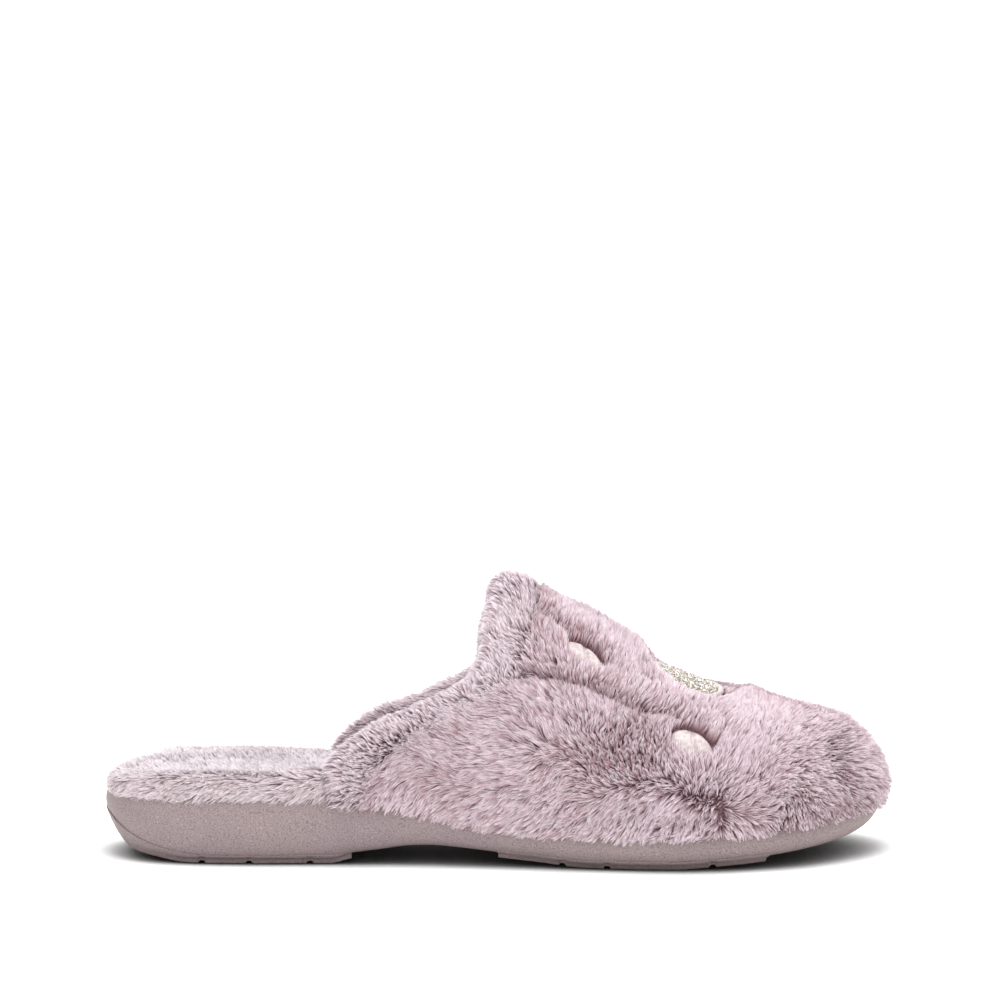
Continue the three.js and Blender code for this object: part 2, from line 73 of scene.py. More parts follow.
Z_RIM = mono([[-2, 22], [20, 22.3], [40, 22.2], [60, 22.6], [80, 21.8], [95, 21.2], [104, 19.6], [113, 17.8], [123, 15.6], [136, 13.5], [152, 12.3], [168, 12], [182, 11.8], [198, 12.2], [217, 13.2], [228, 14], [240, 15], [251, 16.4], [262, 17.8]])
Z_UNDER = mono([[-2, 13.5], [1.7, 9.5], [4, 7], [9, 4.7], [17.5, 3.3], [28, 1.8], [75, 1.8], [82, 3.4], [91.7, 4.7], [101.8, 6.1], [108.5, 6.4], [118.6, 5.7], [132, 4.4], [145.6, 3.2], [156, 2.1], [162, 1.8], [190, 1.8], [203, 2.6], [219.7, 3.7], [226.5, 4.3], [233, 5], [243, 6.2], [250, 7.6], [256.8, 9.9], [261, 13]])
Z_CEIL = mono([[60, 72], [80, 80], [100, 86], [126, 90], [134, 89], [142, 86], [152, 79.5], [166, 72], [184, 60.8], [193, 57.2], [200, 54.6], [206, 52.2], [222, 46.4], [233, 43.6], [243, 41.5], [250, 40], [262, 37.6]])
Z_BED = mono([[-2, 27], [70, 27], [80, 26.4], [90, 25], [100, 23], [110, 20.6], [122, 18], [136, 15.8], [152, 14.6], [170, 14.2], [200, 14.2], [217, 15], [235, 16.2], [262, 18]])
Y_RIDGE = mono([[60, -2], [80, -1.5], [130, 0], [190, 4], [222, 5], [262, 5]])
POWER = mono([[60, 2.2], [140, 2.2], [222, 2.6], [262, 2.6]])
TOP = {-1: [[80, 22.3], [79, 30], [84, 38], [95, 45], [107, 50.5], [118, 55.5], [127, 62], [130.5, 72], [132, 81], [134, 89]],
       1: [[80, 22.3], [79.5, 29], [85, 36], [96, 42], [108, 46.5], [119, 51.5], [127.5, 58], [131, 70], [132.5, 80], [134, 89]]}
SEAM = {-1: [[87, 21.9], [89, 30], [93.5, 35.5], [99.5, 40], [110, 45.5], [122, 51], [134, 56.5], [140.5, 64], [142.5, 74], [144, 85]],
        1: [[87, 21.9], [89.5, 29], [94, 33.5], [100, 37.5], [111, 42.2], [123, 47.5], [134.5, 53.5], [140.5, 62], [142.5, 73], [144, 85]]}
HALF = math.pi / 2


def outline(t, inset=0.0):
    n = len(OUTLINE)
    f = (np.asarray(t, float) % 1.0) * n
    i = np.floor(f).astype(int) % n
    s = (f - np.floor(f))[..., None]
    a, b, c, d = (OUTLINE[(i + k) % n] for k in (-1, 0, 1, 2))
    at = 0.5 * (2 * b + (c - a) * s + (2 * a - 5 * b + 4 * c - d) * s * s + (3 * b - a - 3 * c + d) * s ** 3)
    go = 0.5 * (c - a + 2 * (2 * a - 5 * b + 4 * c - d) * s + 3 * (3 * b - a - 3 * c + d) * s * s)
    go = go / np.linalg.norm(go, axis=-1, keepdims=True)
    nrm = np.stack([go[..., 1], -go[..., 0]], -1)
    return at - nrm * np.asarray(inset, float)[..., None], nrm


_edges = {}


def edge(x, side, inset=0.0):
    """The outline's y, and the place round it, where it crosses x on one side."""
    key = (side, inset)
    if key not in _edges:
        s = np.linspace(0.004, 0.494, 1500)
        t = s if side < 0 else 1 - s
        p, _ = outline(t, inset)
        keep = np.r_[True, np.diff(np.maximum.accumulate(p[:, 0])) > 1e-6]
        _edges[key] = p[keep, 0], p[keep, 1], t[keep]
    ex, ey, et = _edges[key]
    return np.interp(x, ex, ey), np.interp(x, ex, et)


def section(x, side, phi, inset=VAMP_INSET):
    """A point of the vamp's backing cloth: phi climbs from the sole's edge to the ridge."""
    x, phi = np.broadcast_arrays(np.asarray(x, float), np.asarray(phi, float))
    p = POWER(x)
    g, h = np.abs(np.cos(phi)) ** (2 / p), np.abs(np.sin(phi)) ** (2 / p)
    yr, ye = Y_RIDGE(x), edge(np.minimum(x, 250), side, inset)[0]
    base = Z_RIM(x) + 0.5
    return np.stack([x, yr + (ye - yr) * g, base + (Z_CEIL(x) - base) * h], -1)


def line_on_vamp(points):
    out = []
    for i, (x, z) in enumerate(points):
        base = Z_RIM(x) + 0.5
        h = min(max((z - base) / (Z_CEIL(x) - base), 0), 1)
        out.append([HALF if i == len(points) - 1 else math.asin(h ** (float(POWER(x)) / 2)), x])
    out[0][0] = 0
    return mono(out)


TOPLINE = {s: line_on_vamp(TOP[s]) for s in (-1, 1)}
SEAMLINE = {s: line_on_vamp(SEAM[s]) for s in (-1, 1)}


# ---- mesh and noise helpers -----------------------------------------------------------------------
def unit(v):
    return v / np.maximum(np.linalg.norm(v, axis=-1, keepdims=True), 1e-9)


def smooth(a, b, x):
    t = np.clip((x - a) / (b - a), 0, 1)
    return t * t * (3 - 2 * t)


def noise(p, scale, seed=0):
    """Smooth noise in [-1, 1] with features about scale millimetres across."""
    q = np.asarray(p, float) / scale + 1000.0 + seed * 17.31
    i = np.floor(q).astype(np.int64)
    f = q - i
    f = f * f * (3 - 2 * f)

    def lattice(dx, dy, dz):
        h = ((i[..., 0] + dx) * 73856093) ^ ((i[..., 1] + dy) * 19349663) ^ ((i[..., 2] + dz) * 83492791) ^ (seed * 2654435761)
        h = (h ^ (h >> 13)) * 1274126177
        h = h ^ (h >> 16)
        return (h & 0xFFFFF) / float(0xFFFFF) * 2 - 1
    out = 0
    for dx in (0, 1):
        for dy in (0, 1):
            for dz in (0, 1):
                w = (f[..., 0] if dx else 1 - f[..., 0]) * (f[..., 1] if dy else 1 - f[..., 1]) * (f[..., 2] if dz else 1 - f[..., 2])
                out = out + w * lattice(dx, dy, dz)
    return out


def normals(v, f):
    a, b, c = v[f[:, 0]], v[f[:, 1]], v[f[:, 2]]
    fn = np.cross(b - a, c - a)
    n = np.zeros_like(v)
    for k in range(3):
        np.add.at(n, f[:, k], fn)
    return unit(n)


def grid_faces(nu, nv, wrap_u=False, wrap_v=False, start=0):
    iu = np.arange(nu if wrap_u else nu - 1)
    iv = np.arange(nv if wrap_v else nv - 1)
    a, b = np.meshgrid(iu, iv, indexing="ij")
    a2, b2 = (a + 1) % nu, (b + 1) % nv
    return np.stack([a * nv + b, a2 * nv + b, a2 * nv + b2, a * nv + b2], -1).reshape(-1, 4) + start


def tris(q):
    return np.concatenate([q[:, [0, 1, 2]], q[:, [0, 2, 3]]])


def to_row(v):
    v = np.asarray(v, float)
    return np.stack([(v[..., 0] - CENTRE[0]), (v[..., 1] - CENTRE[1]), v[..., 2]], -1) * 0.001




def make(name, v, faces, material, uv=None, vertex_normals=None, shade_smooth=True, clean=False):
    """A piece of the slipper from millimetre vertices and faces, riding on the one body."""
    me = bpy.data.meshes.new(name)
    w = to_row(v).astype(np.float32)
    faces = [faces] if isinstance(faces, np.ndarray) else faces
    sizes = np.concatenate([np.full(len(f), f.shape[1], np.int32) for f in faces])
    loops = np.concatenate([f.reshape(-1) for f in faces]).astype(np.int32)
    me.vertices.add(len(w))
    me.vertices.foreach_set("co", w.reshape(-1))
    me.loops.add(len(loops))
    me.loops.foreach_set("vertex_index", loops)
    me.polygons.add(len(sizes))
    me.polygons.foreach_set("loop_start", np.r_[0, np.cumsum(sizes)[:-1]].astype(np.int32))
    if uv is not None:
        layer = me.uv_layers.new(name="OFBake")
        layer.data.foreach_set("uv", uv[loops].astype(np.float32).reshape(-1))
    me.polygons.foreach_set("use_smooth", np.full(len(sizes), shade_smooth))
    me.update(calc_edges=True)
    me.validate()
    if clean:
        import bmesh
        bm = bmesh.new()
        bm.from_mesh(me)
        bmesh.ops.remove_doubles(bm, verts=bm.verts, dist=2e-6)
        bmesh.ops.dissolve_degenerate(bm, edges=bm.edges, dist=1e-6)
        bmesh.ops.recalc_face_normals(bm, faces=bm.faces)
        bm.to_mesh(me)
        bm.free()
    if vertex_normals is not None:
        me.normals_split_custom_set_from_vertices(vertex_normals.astype(np.float32).tolist())
    ob = bpy.data.objects.new(name, me)
    bpy.context.scene.collection.objects.link(ob)
    me.materials.append(material)
    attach(ob, "root")
    return ob


class Surface:
    """A triangle mesh with per-vertex values that roots of the pile are drawn from."""

    def __init__(self, v, f, values=None, n=None):
        self.v, self.f = v, f
        self.n = normals(v, f) if n is None else n
        self.values = values or {}
        self.area = 0.5 * np.linalg.norm(np.cross(v[f[:, 1]] - v[f[:, 0]], v[f[:, 2]] - v[f[:, 0]]), axis=1)

    def sample(self, per_mm2, rng, keep=None):
        a = self.area if keep is None else self.area * keep
        count = int(a.sum() * per_mm2)
        pick = np.searchsorted(np.cumsum(a), (np.arange(count) + rng.random(count)) / count * a.sum())
        pick = np.minimum(pick, len(a) - 1)
        r1, r2 = np.sqrt(rng.random(count)), rng.random(count)
        w = np.stack([1 - r1, r1 * (1 - r2), r1 * r2], -1)
        order = rng.permutation(count)
        pick, w = pick[order], w[order]
        tri = self.f[pick]

        def mix(a):
            return (a[tri] * (w[..., None] if a.ndim > 1 else w)).sum(1)
        return mix(self.v), unit(mix(self.n)), {k: mix(a) for k, a in self.values.items()}


# ---- materials ------------------------------------------------------------------------------------
class Nodes:
    def __init__(self, name):
        self.mat = bpy.data.materials.new(name)
        self.mat.use_nodes = True
        self.t = self.mat.node_tree
        self.t.nodes.clear()
        self.out = self.t.nodes.new("ShaderNodeOutputMaterial")

    def add(self, kind, inputs=None, **props):
        n = self.t.nodes.new("ShaderNode" + kind)
        for k, v in props.items():
            setattr(n, k, v)
        for k, v in (inputs or {}).items():
            if isinstance(v, bpy.types.NodeSocket):
                self.t.links.new(v, n.inputs[k])
            else:
                n.inputs[k].default_value = v
        return n

    def ramp(self, fac, stops, interpolation="LINEAR"):
        n = self.add("ValToRGB", {"Fac": fac})
        n.color_ramp.interpolation = interpolation
        e = n.color_ramp.elements
        while len(e) < len(stops):
            e.new(0.5)
        for el, (pos, col) in zip(e, stops):
            el.position = pos
            el.color = (*col, 1) if len(col) == 3 else col
        return n.outputs["Color"]

    def mix(self, fac, a, b, blend="MIX"):
        n = self.add("Mix", data_type="RGBA", blend_type=blend, clamp_factor=True)
        for sock, v in ((n.inputs[0], fac), (n.inputs[6], a), (n.inputs[7], b)):
            if isinstance(v, bpy.types.NodeSocket):
                self.t.links.new(v, sock)
            else:
                sock.default_value = (*v, 1) if isinstance(v, tuple) and len(v) == 3 else v
        return n.outputs[2]

    def math(self, op, a, b=0.0):
        n = self.add("Math", operation=op)
        for sock, v in ((n.inputs[0], a), (n.inputs[1], b)):
            if isinstance(v, bpy.types.NodeSocket):
                self.t.links.new(v, sock)
            else:
                sock.default_value = v
        return n.outputs[0]

    def place(self):
        return self.add("TexCoord").outputs["Object"]

    def noise(self, where, scale, detail=3.0, rough=0.5):
        return self.add("TexNoise", {"Vector": where, "Scale": scale, "Detail": detail, "Roughness": rough}).outputs["Fac"]

    def bump(self, height, strength, distance):
        return self.add("Bump", {"Height": height, "Strength": strength, "Distance": distance}).outputs["Normal"]

    def surface(self, shader):
        self.t.links.new(shader, self.out.inputs["Surface"])
        return self.mat


def pile_material(name, root, mid, tip, warm, light, through=0.38, rough=0.7):
    """Fibre colour from root to tip along v, tinted fibre by fibre along u. The dark root end is painted shade deep in
    the pile.
    """
    m = Nodes(name)
    uv = m.add("UVMap", uv_map="OFBake").outputs["UV"]
    s = m.add("SeparateXYZ", {"Vector": uv})
    along = m.ramp(s.outputs["Y"], [(0.0, root), (0.42, mid), (0.82, tip), (1.0, tuple(min(1.0, c * 1.05) for c in tip))])
    tone = m.ramp(s.outputs["X"], [(0.0, warm), (0.5, (1, 1, 1)), (1.0, light)])
    colour = m.mix(1.0, along, tone, "MULTIPLY")
    p = m.add("BsdfPrincipled", {"Base Color": colour, "Roughness": rough, "Specular IOR Level": 0.25, "Sheen Weight": 0.15, "Sheen Roughness": 0.4})
    t = m.add("BsdfTranslucent", {"Color": colour})
    mix = m.add("MixShader", {0: through, 1: p.outputs[0], 2: t.outputs[0]})
    return m.surface(mix.outputs[0])


def cloth_material(name, dark, light, scale=900, bump=0.0004, sheen=0.3, rough=0.9):
    """The dense knitted ground that the pile stands on."""
    m = Nodes(name)
    w = m.place()
    fine, broad = m.noise(w, scale, 4, 0.6), m.noise(w, 60, 3)
    col = m.mix(m.ramp(broad, [(0.3, (0, 0, 0)), (0.7, (1, 1, 1))]), dark, light)
    col = m.mix(0.5, col, m.ramp(fine, [(0.3, tuple(c * 0.6 for c in dark)), (0.7, light)]))
    p = m.add("BsdfPrincipled", {"Base Color": col, "Roughness": rough, "Specular IOR Level": 0.15, "Sheen Weight": sheen, "Sheen Roughness": 0.5, "Normal": m.bump(fine, 0.8, bump)})
    return m.surface(p.outputs[0])


# each pile's root colour is painted shade deep in the pile
COLLAR_PILE = pile_material("collar_pile", (0.23, 0.095, 0.11), (0.58, 0.43, 0.46), (0.90, 0.815, 0.85), (0.80, 0.65, 0.68), (1.08, 1.10, 1.11))
PILE = pile_material("plush_pile", (0.155, 0.052, 0.064), (0.515, 0.35, 0.385), (0.87, 0.765, 0.805), (0.74, 0.57, 0.60), (1.12, 1.14, 1.16))
SOCK_PILE = pile_material("sock_pile", (0.32, 0.22, 0.24), (0.70, 0.605, 0.63), (0.92, 0.88, 0.905), (0.90, 0.80, 0.82), (1.05, 1.06, 1.07))
BAND_PILE = pile_material("band_pile", (0.24, 0.15, 0.165), (0.64, 0.53, 0.555), (0.90, 0.83, 0.855), (0.86, 0.74, 0.76), (1.07, 1.08, 1.09))
LINING_PILE = pile_material("lining_pile", (0.24, 0.16, 0.18), (0.46, 0.36, 0.40), (0.62, 0.52, 0.57), (0.88, 0.80, 0.82), (1.08, 1.08, 1.1))
# the plush ground's dark colour is partly the cloth's own and partly painted shade deep between the fibres
PLUSH_GROUND = cloth_material("plush_ground", (0.20, 0.115, 0.135), (0.36, 0.25, 0.28))
SOCK_GROUND = cloth_material("sock_ground", (0.44, 0.34, 0.37), (0.60, 0.50, 0.54))
LINING_GROUND = cloth_material("lining_ground", (0.30, 0.21, 0.24), (0.46, 0.36, 0.39))


def sole_material(name, base, dark, warm):
    m = Nodes(name)
    w = m.place()
    speck, fine, broad = m.noise(w, 2300, 2, 0.6), m.noise(w, 5200, 2, 0.5), m.noise(w, 28, 3)
    lightness = m.noise(w, 1700, 1, 0.5)
    col = m.mix(m.ramp(broad, [(0.35, (0, 0, 0)), (0.65, (1, 1, 1))]), base, warm)
    col = m.mix(m.ramp(speck, [(0.36, (1, 1, 1)), (0.50, (0, 0, 0))]), col, dark)
    col = m.mix(m.ramp(lightness, [(0.66, (0, 0, 0)), (0.74, (1, 1, 1))]), col, tuple(min(1.0, c * 1.5) for c in base))
    rough = m.ramp(speck, [(0.3, (0.5,) * 3), (0.7, (0.66,) * 3)])
    height = m.math("ADD", m.math("MULTIPLY", speck, 0.6), m.math("MULTIPLY", fine, 0.4))
    p = m.add("BsdfPrincipled", {"Base Color": col, "Roughness": rough, "Specular IOR Level": 0.35, "Normal": m.bump(height, 0.35, 0.00025)})
    return m.surface(p.outputs[0])


SOLE = sole_material("moulded_sole", (0.262, 0.203, 0.211), (0.156, 0.115, 0.121), (0.28, 0.221, 0.214))
TREAD = sole_material("tread_rubber", (0.25, 0.192, 0.198), (0.15, 0.112, 0.118), (0.265, 0.209, 0.202))


def satin_material(name):
    m = Nodes(name)
    w = m.place()
    wave = m.add("TexNoise", {"Vector": w, "Scale": 700.0, "Detail": 2.0}).outputs["Fac"]
    col = m.ramp(wave, [(0.3, (0.42, 0.34, 0.335)), (0.55, (0.57, 0.495, 0.49)), (0.75, (0.66, 0.595, 0.59))])
    p = m.add("BsdfPrincipled", {"Base Color": col, "Roughness": 0.36, "Specular IOR Level": 0.5, "Sheen Weight": 0.15})
    return m.surface(p.outputs[0])


def glitter_material(name):
    m = Nodes(name)
    uv = m.add("UVMap", uv_map="OFBake").outputs["UV"]
    s = m.add("SeparateXYZ", {"Vector": uv})
    col = m.ramp(s.outputs["X"], [(0.0, (0.16, 0.12, 0.085)), (0.3, (0.40, 0.34, 0.26)), (0.55, (0.72, 0.68, 0.60)), (0.8, (0.93, 0.92, 0.90)), (1.0, (0.99, 0.99, 0.99))])
    p = m.add("BsdfPrincipled", {"Base Color": col, "Roughness": 0.22, "Metallic": 0.85})
    return m.surface(p.outputs[0])


SATIN = satin_material("satin_thread")
GLITTER = glitter_material("glitter_flakes")


# ---- vamp surface -----------------------------------------------------------------------------------
NB, NC, NF, K = 9, 62, 46, 60


def vamp_surface():
    phi = np.linspace(0, HALF, K + 1)
    # rows run from the lateral edge over the ridge to the medial edge
    full = [(-1, p) for p in phi] + [(1, p) for p in phi[::-1][1:]]
    side = np.array([s for s, _ in full])
    ph = np.array([p for _, p in full])
    top = np.where(side < 0, TOPLINE[-1](ph), TOPLINE[1](ph))
    seam = np.where(side < 0, SEAMLINE[-1](ph), SEAMLINE[1](ph))
    cols = [top + (seam - top) * b for b in np.linspace(0, 1, NB)]
    cols += [seam + (FAN_X - seam) * c for c in np.linspace(0, 1, NC)[1:]]
    x = np.array(cols)
    v = np.where((side < 0)[None, :, None], section(x, -1, ph[None]), section(x, 1, ph[None]))
    nu, nv = x.shape
    verts = v.reshape(-1, 3)
    faces = [grid_faces(nu, nv)[:, ::-1]]
    xs, phs, sd = [x.reshape(-1)], [np.tile(ph, nu)], [np.tile(side, nu)]
    # toe cap: a fan round the ridge's end
    tl, tm = edge(FAN_X, -1, VAMP_INSET)[1], edge(FAN_X, 1, VAMP_INSET)[1]
    t = np.linspace(tl, tm, NF + 1)
    f, _ = outline(t, VAMP_INSET)
    g, h = np.cos(phi) ** (2 / 2.6), np.sin(phi) ** (2 / 2.6)
    yc = float(Y_RIDGE(FAN_X))
    fx = FAN_X + (f[:, 0, None] - FAN_X) * g
    base = Z_RIM(f[:, 0])[:, None] + 0.5
    fan = np.stack([fx, yc + (f[:, 1, None] - yc) * g, base + (Z_CEIL(fx) - base) * h], -1)
    idx = np.zeros((NF + 1, K + 1), int)
    last = (nu - 1) * nv
    idx[0] = last + np.arange(K + 1)
    idx[NF] = last + np.arange(2 * K, K - 1, -1)
    extra, count = [], len(verts)
    for i in range(1, NF):
        idx[i, :K] = count + np.arange(K)
        idx[i, K] = last + K
        extra.append(fan[i, :K])
        count += K
        xs.append(fx[i, :K])
        phs.append(phi[:K])
        sd.append(np.full(K, -1 if i < NF / 2 else 1))
    verts = np.concatenate([verts] + extra)
    q = np.stack([idx[:-1, :-1], idx[:-1, 1:], idx[1:, 1:], idx[1:, :-1]], -1).reshape(-1, 4)
    faces.append(q)
    q = np.concatenate(faces)
    return verts, q, dict(x=np.concatenate(xs), phi=np.concatenate(phs), side=np.concatenate(sd).astype(float)), (nu, nv), idx


V_V, V_Q, V_A, (V_NU, V_NV), V_FAN = vamp_surface()
V_T = tris(V_Q)
ok = (V_T[:, 0] != V_T[:, 1]) & (V_T[:, 1] != V_T[:, 2]) & (V_T[:, 2] != V_T[:, 0])
V_T = V_T[ok]
if normals(V_V, V_T)[(V_NU // 2) * V_NV + K][2] < 0:
    V_T, V_Q = V_T[:, ::-1], V_Q[:, ::-1]
# the open edge of the cloth: topline and sole edge stay put while the rest is relaxed
rim = set(range(V_NV)) | set(range(0, V_NU * V_NV, V_NV)) | set(range(V_NV - 1, V_NU * V_NV, V_NV)) | set(V_FAN[:, 0].tolist())
free = np.array([i not in rim for i in range(len(V_V))])
e = np.unique(np.sort(np.concatenate([V_T[:, [0, 1]], V_T[:, [1, 2]], V_T[:, [2, 0]]]), 1), axis=0)


def relax(v, edges, free, rounds):
    for _ in range(rounds):
        s, c = np.zeros_like(v), np.zeros(len(v))
        for a, b in ((0, 1), (1, 0)):
            np.add.at(s, edges[:, a], v[edges[:, b]])
            np.add.at(c, edges[:, a], 1)
        v = np.where(free[:, None], 0.5 * v + 0.5 * s / c[:, None], v)
    return v


V_V = relax(V_V, e, free, 6)
V_N = normals(V_V, V_T)
bottom = np.array(sorted(set(range(0, V_NU * V_NV, V_NV)) | set(range(V_NV - 1, V_NU * V_NV, V_NV)) | set(V_FAN[:, 0].tolist())))
V_N[bottom, 2] = 0
V_N = unit(V_N)

ELEV = math.radians(8.5)


def on_side(x, v, side=-1):
    """The cloth point at x that lies at height v across the line of sight from the lateral side."""
    ph = np.linspace(0.02, HALF, 200)
    p = section(np.full(200, x), side, ph)
    look = p[:, 2] * math.cos(ELEV) - np.abs(p[:, 1]) * math.sin(ELEV)
    return p[np.argmin(np.abs(look - v))]


GROOVES = [
    [(138.5, 80.5), (142, 77.4), (149, 72.9), (156.5, 68.2)],
    [(139, 57.4), (147, 55.2), (154.7, 53.3), (162.4, 50.8), (172.5, 46.2), (180.6, 43.6), (190.5, 42.4)],
]


def polyline_distance(p, line):
    best = np.full(len(p), 1e9)
    for a, b in zip(line[:-1], line[1:]):
        d = b - a
        t = np.clip(((p - a) @ d) / (d @ d), 0, 1)
        best = np.minimum(best, np.linalg.norm(p - a - t[:, None] * d, axis=1))
    return best


GROOVE_LINES = [np.array([on_side(x, v, s) for x, v in g]) for g in GROOVES for s in (-1, 1)]


def groove(p):
    return np.min([polyline_distance(p, g) for g in GROOVE_LINES], axis=0)


# patches: name, x, side, phi, turn, half length, half width, superellipse power
def patch_frame(c):
    x, side, phi, step = c["x"], c["side"], c["phi"], c.get("reach", 0.02)

    def at(xx, ph):
        ph = np.asarray(ph, float)
        over = ph > HALF
        q = np.where(over, math.pi - ph, ph)
        a, b = section(xx, side, q), section(xx, -side, q)
        return np.where(over[..., None], b, a)
    l = np.linalg.norm(at(x, phi + step) - at(x, phi - step)) / (2 * step)
    lx = np.linalg.norm(at(x + 1, phi) - at(x - 1, phi)) / 2

    def place(a, b, d, turn=0.0):
        ca, sa = math.cos(turn), math.sin(turn)
        aa, bb = a * ca - b * sa, a * sa + b * ca
        px, ph = x + aa / lx, phi + bb / l
        p = at(px, ph)
        du, dv = at(px + 0.5, ph) - at(px - 0.5, ph), at(px, ph + 0.01) - at(px, ph - 0.01)
        n = np.cross(du, dv)
        n = unit(n * np.where(n[..., 2:] < 0, -1, 1))
        return p + n * np.asarray(d)[..., None], n
    return place, l, lx


CENTRE_PATCH = dict(name="glitter_applique", x=195, side=-1, phi=HALF, turn=0.0, a=10.3, b=20.0, reach=0.3)
LEAVES = [dict(name="satin_leaf_rear_lateral", x=160, side=-1, phi=1.03, turn=-0.5, a=7.6, b=5.8),
          dict(name="satin_leaf_front_lateral", x=196, side=-1, phi=0.60, turn=-0.45, a=7.6, b=5.8),
          dict(name="satin_leaf_rear_medial", x=160, side=1, phi=1.03, turn=0.5, a=7.6, b=5.8),
          dict(name="satin_leaf_front_medial", x=196, side=1, phi=0.60, turn=0.45, a=7.6, b=5.8)]
DOTS = [dict(name="glitter_dot_lateral", x=179.5, side=-1, phi=1.02, turn=0, a=2.4, b=2.4),
        dict(name="glitter_dot_medial", x=179.5, side=1, phi=1.02, turn=0, a=2.4, b=2.4)]


def patch_reach(c, x, phi, side):
    """A cloth point's place across a patch, towards the toe and up the slope, and how far outside it lies in mm."""
    _, l, lx = patch_frame(c)
    ph = np.where(side == c["side"], phi, math.pi - phi)
    aa, bb = (x - c["x"]) * lx, (ph - c["phi"]) * l
    ct, st = math.cos(c["turn"]), math.sin(c["turn"])
    a, b = aa * ct + bb * st, -aa * st + bb * ct
    r = np.sqrt((a / c["a"]) ** 2 + (b / c["b"]) ** 2)
    return a, b, (r - 1) * np.hypot(a, b) / np.maximum(r, 1e-6)


def patch_field(x, phi, side, grow_centre=2.3):
    """Millimetres outside the nearest patch (negative inside)."""
    out = np.full(len(x), 99.0)
    for c in [CENTRE_PATCH] + LEAVES + DOTS:
        d = patch_reach(c, x, phi, side)[2]
        out = np.minimum(out, d - (grow_centre if c is CENTRE_PATCH else 0.0 if c in LEAVES else -0.7))
    return out


def ground_lift(p, x, phi, side):
    """How far the dense ground of the pile stands off the backing cloth."""
    g = groove(p)
    d = patch_field(x, phi, side)
    lift = 1.7 + 0.8 * noise(p, 16, 3) + 0.45 * noise(p, 7, 4)
    lift = lift - 2.2 * np.exp(-(g / 2.4) ** 2) + 0.9 * np.exp(-((g - 6.5) / 3.5) ** 2)
    lift = lift * smooth(-0.5, 3.2, d) + 0.4
    return np.clip(lift, 0.3, 3.6)


V_LIFT = ground_lift(V_V, V_A["x"], V_A["phi"], V_A["side"])
V_LIFT[bottom] = np.clip(V_LIFT[bottom], 0.3, 1.3)
V_GROUND = V_V + V_N * V_LIFT[:, None]

# the vamp's ground starts at the seam; the collar covers what is behind it
seam_cut = (NB - 1) * V_NV


def closed_shell(v_out, v_in, f):
    """A closed skin from an outer and an inner copy of one open triangle mesh."""
    n = len(v_out)
    e = np.concatenate([f[:, [0, 1]], f[:, [1, 2]], f[:, [2, 0]]])
    key = e[:, 0].astype(np.int64) * (n + 1) + e[:, 1]
    back = e[:, 1].astype(np.int64) * (n + 1) + e[:, 0]
    edge_open = e[~np.isin(key, back)]
    a, b = edge_open[:, 0], edge_open[:, 1]
    walls = np.concatenate([np.stack([a, a + n, b + n], -1), np.stack([a, b + n, b], -1)])
    return np.concatenate([v_out, v_in]), np.concatenate([f, f[:, ::-1] + n, walls])


def compact(v, f, *arrays):
    used, inv = np.unique(f, return_inverse=True)
    return (v[used], inv.reshape(f.shape)) + tuple(a[used] for a in arrays)


body = (V_T >= seam_cut).all(1)
gv, gf, gi = compact(V_GROUND, V_T[body], V_V + V_N * 0.15)
sv, sf = closed_shell(gv, gi, gf)
vamp_ground = make("vamp_plush_ground", sv, sf, PLUSH_GROUND)
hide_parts("vamp_plush")

lv, lf, l2 = compact(V_V - V_N * 6.7, V_T[body], V_V - V_N * 3.8)
sv, sf = closed_shell(lv, l2, lf[:, ::-1])
lining = make("vamp_lining_ground", sv, sf, LINING_GROUND)
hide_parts("vamp_lining")

# ---- collar ----------------------------------------------------------------------------------------
COL_N = 2 * K + 1
i0 = np.arange(COL_N)
p0, p1, n0 = V_V[i0], V_V[V_NV * (NB - 1) + i0], V_N[i0]
ahead = unit(V_V[V_NV * 1 + i0] - p0)


def off_col(b, d):
    f = b * (NB - 1)
    i = min(int(f), NB - 2)
    s = f - i
    a, c = i * V_NV + i0, (i + 1) * V_NV + i0
    return V_V[a] * (1 - s) + V_V[c] * s + unit(V_N[a] * (1 - s) + V_N[c] * s) * d


def by_edge(s, d):
    return p0 + ahead * s + n0 * d


section_knots = [off_col(1.0, 0.1), off_col(0.99, 1.9), off_col(0.86, 2.8), off_col(0.66, 3.2), off_col(0.33, 3.3), by_edge(0, 3.0), by_edge(-1.3, 2.2), by_edge(-2.1, 0.4),
                 by_edge(-2.2, -2.6), by_edge(-1.6, -4.8), by_edge(0, -6.0), off_col(0.33, -6.5), off_col(0.66, -6.6), off_col(0.95, -6.4), off_col(0.96, -4.8),
                 off_col(0.66, -4.6), off_col(0.33, -4.6), by_edge(0.3, -4.4), by_edge(0.3, 0.0), off_col(0.33, 0.1), off_col(0.66, 0.1)]
knots = np.stack(section_knots, 1)  # stations x knots x 3
RING = 84


def closed_spline(k, m):
    n = k.shape[1]
    f = np.arange(m) / m * n
    i = np.floor(f).astype(int)
    s = (f - i)[None, :, None]
    a, b, c, d = (k[:, (i + j) % n] for j in (-1, 0, 1, 2))
    return 0.5 * (2 * b + (c - a) * s + (2 * a - 5 * b + 4 * c - d) * s * s + (3 * b - a - 3 * c + d) * s ** 3)


roll = closed_spline(knots, RING)
lump = 0.55 * noise(roll, 11, 8) + 0.3 * noise(roll, 5, 9)
mid = roll.mean(1, keepdims=True)
roll = roll + unit(roll - mid) * np.where(np.arange(RING)[None] < RING * 13 / 21, lump, 0)[..., None]
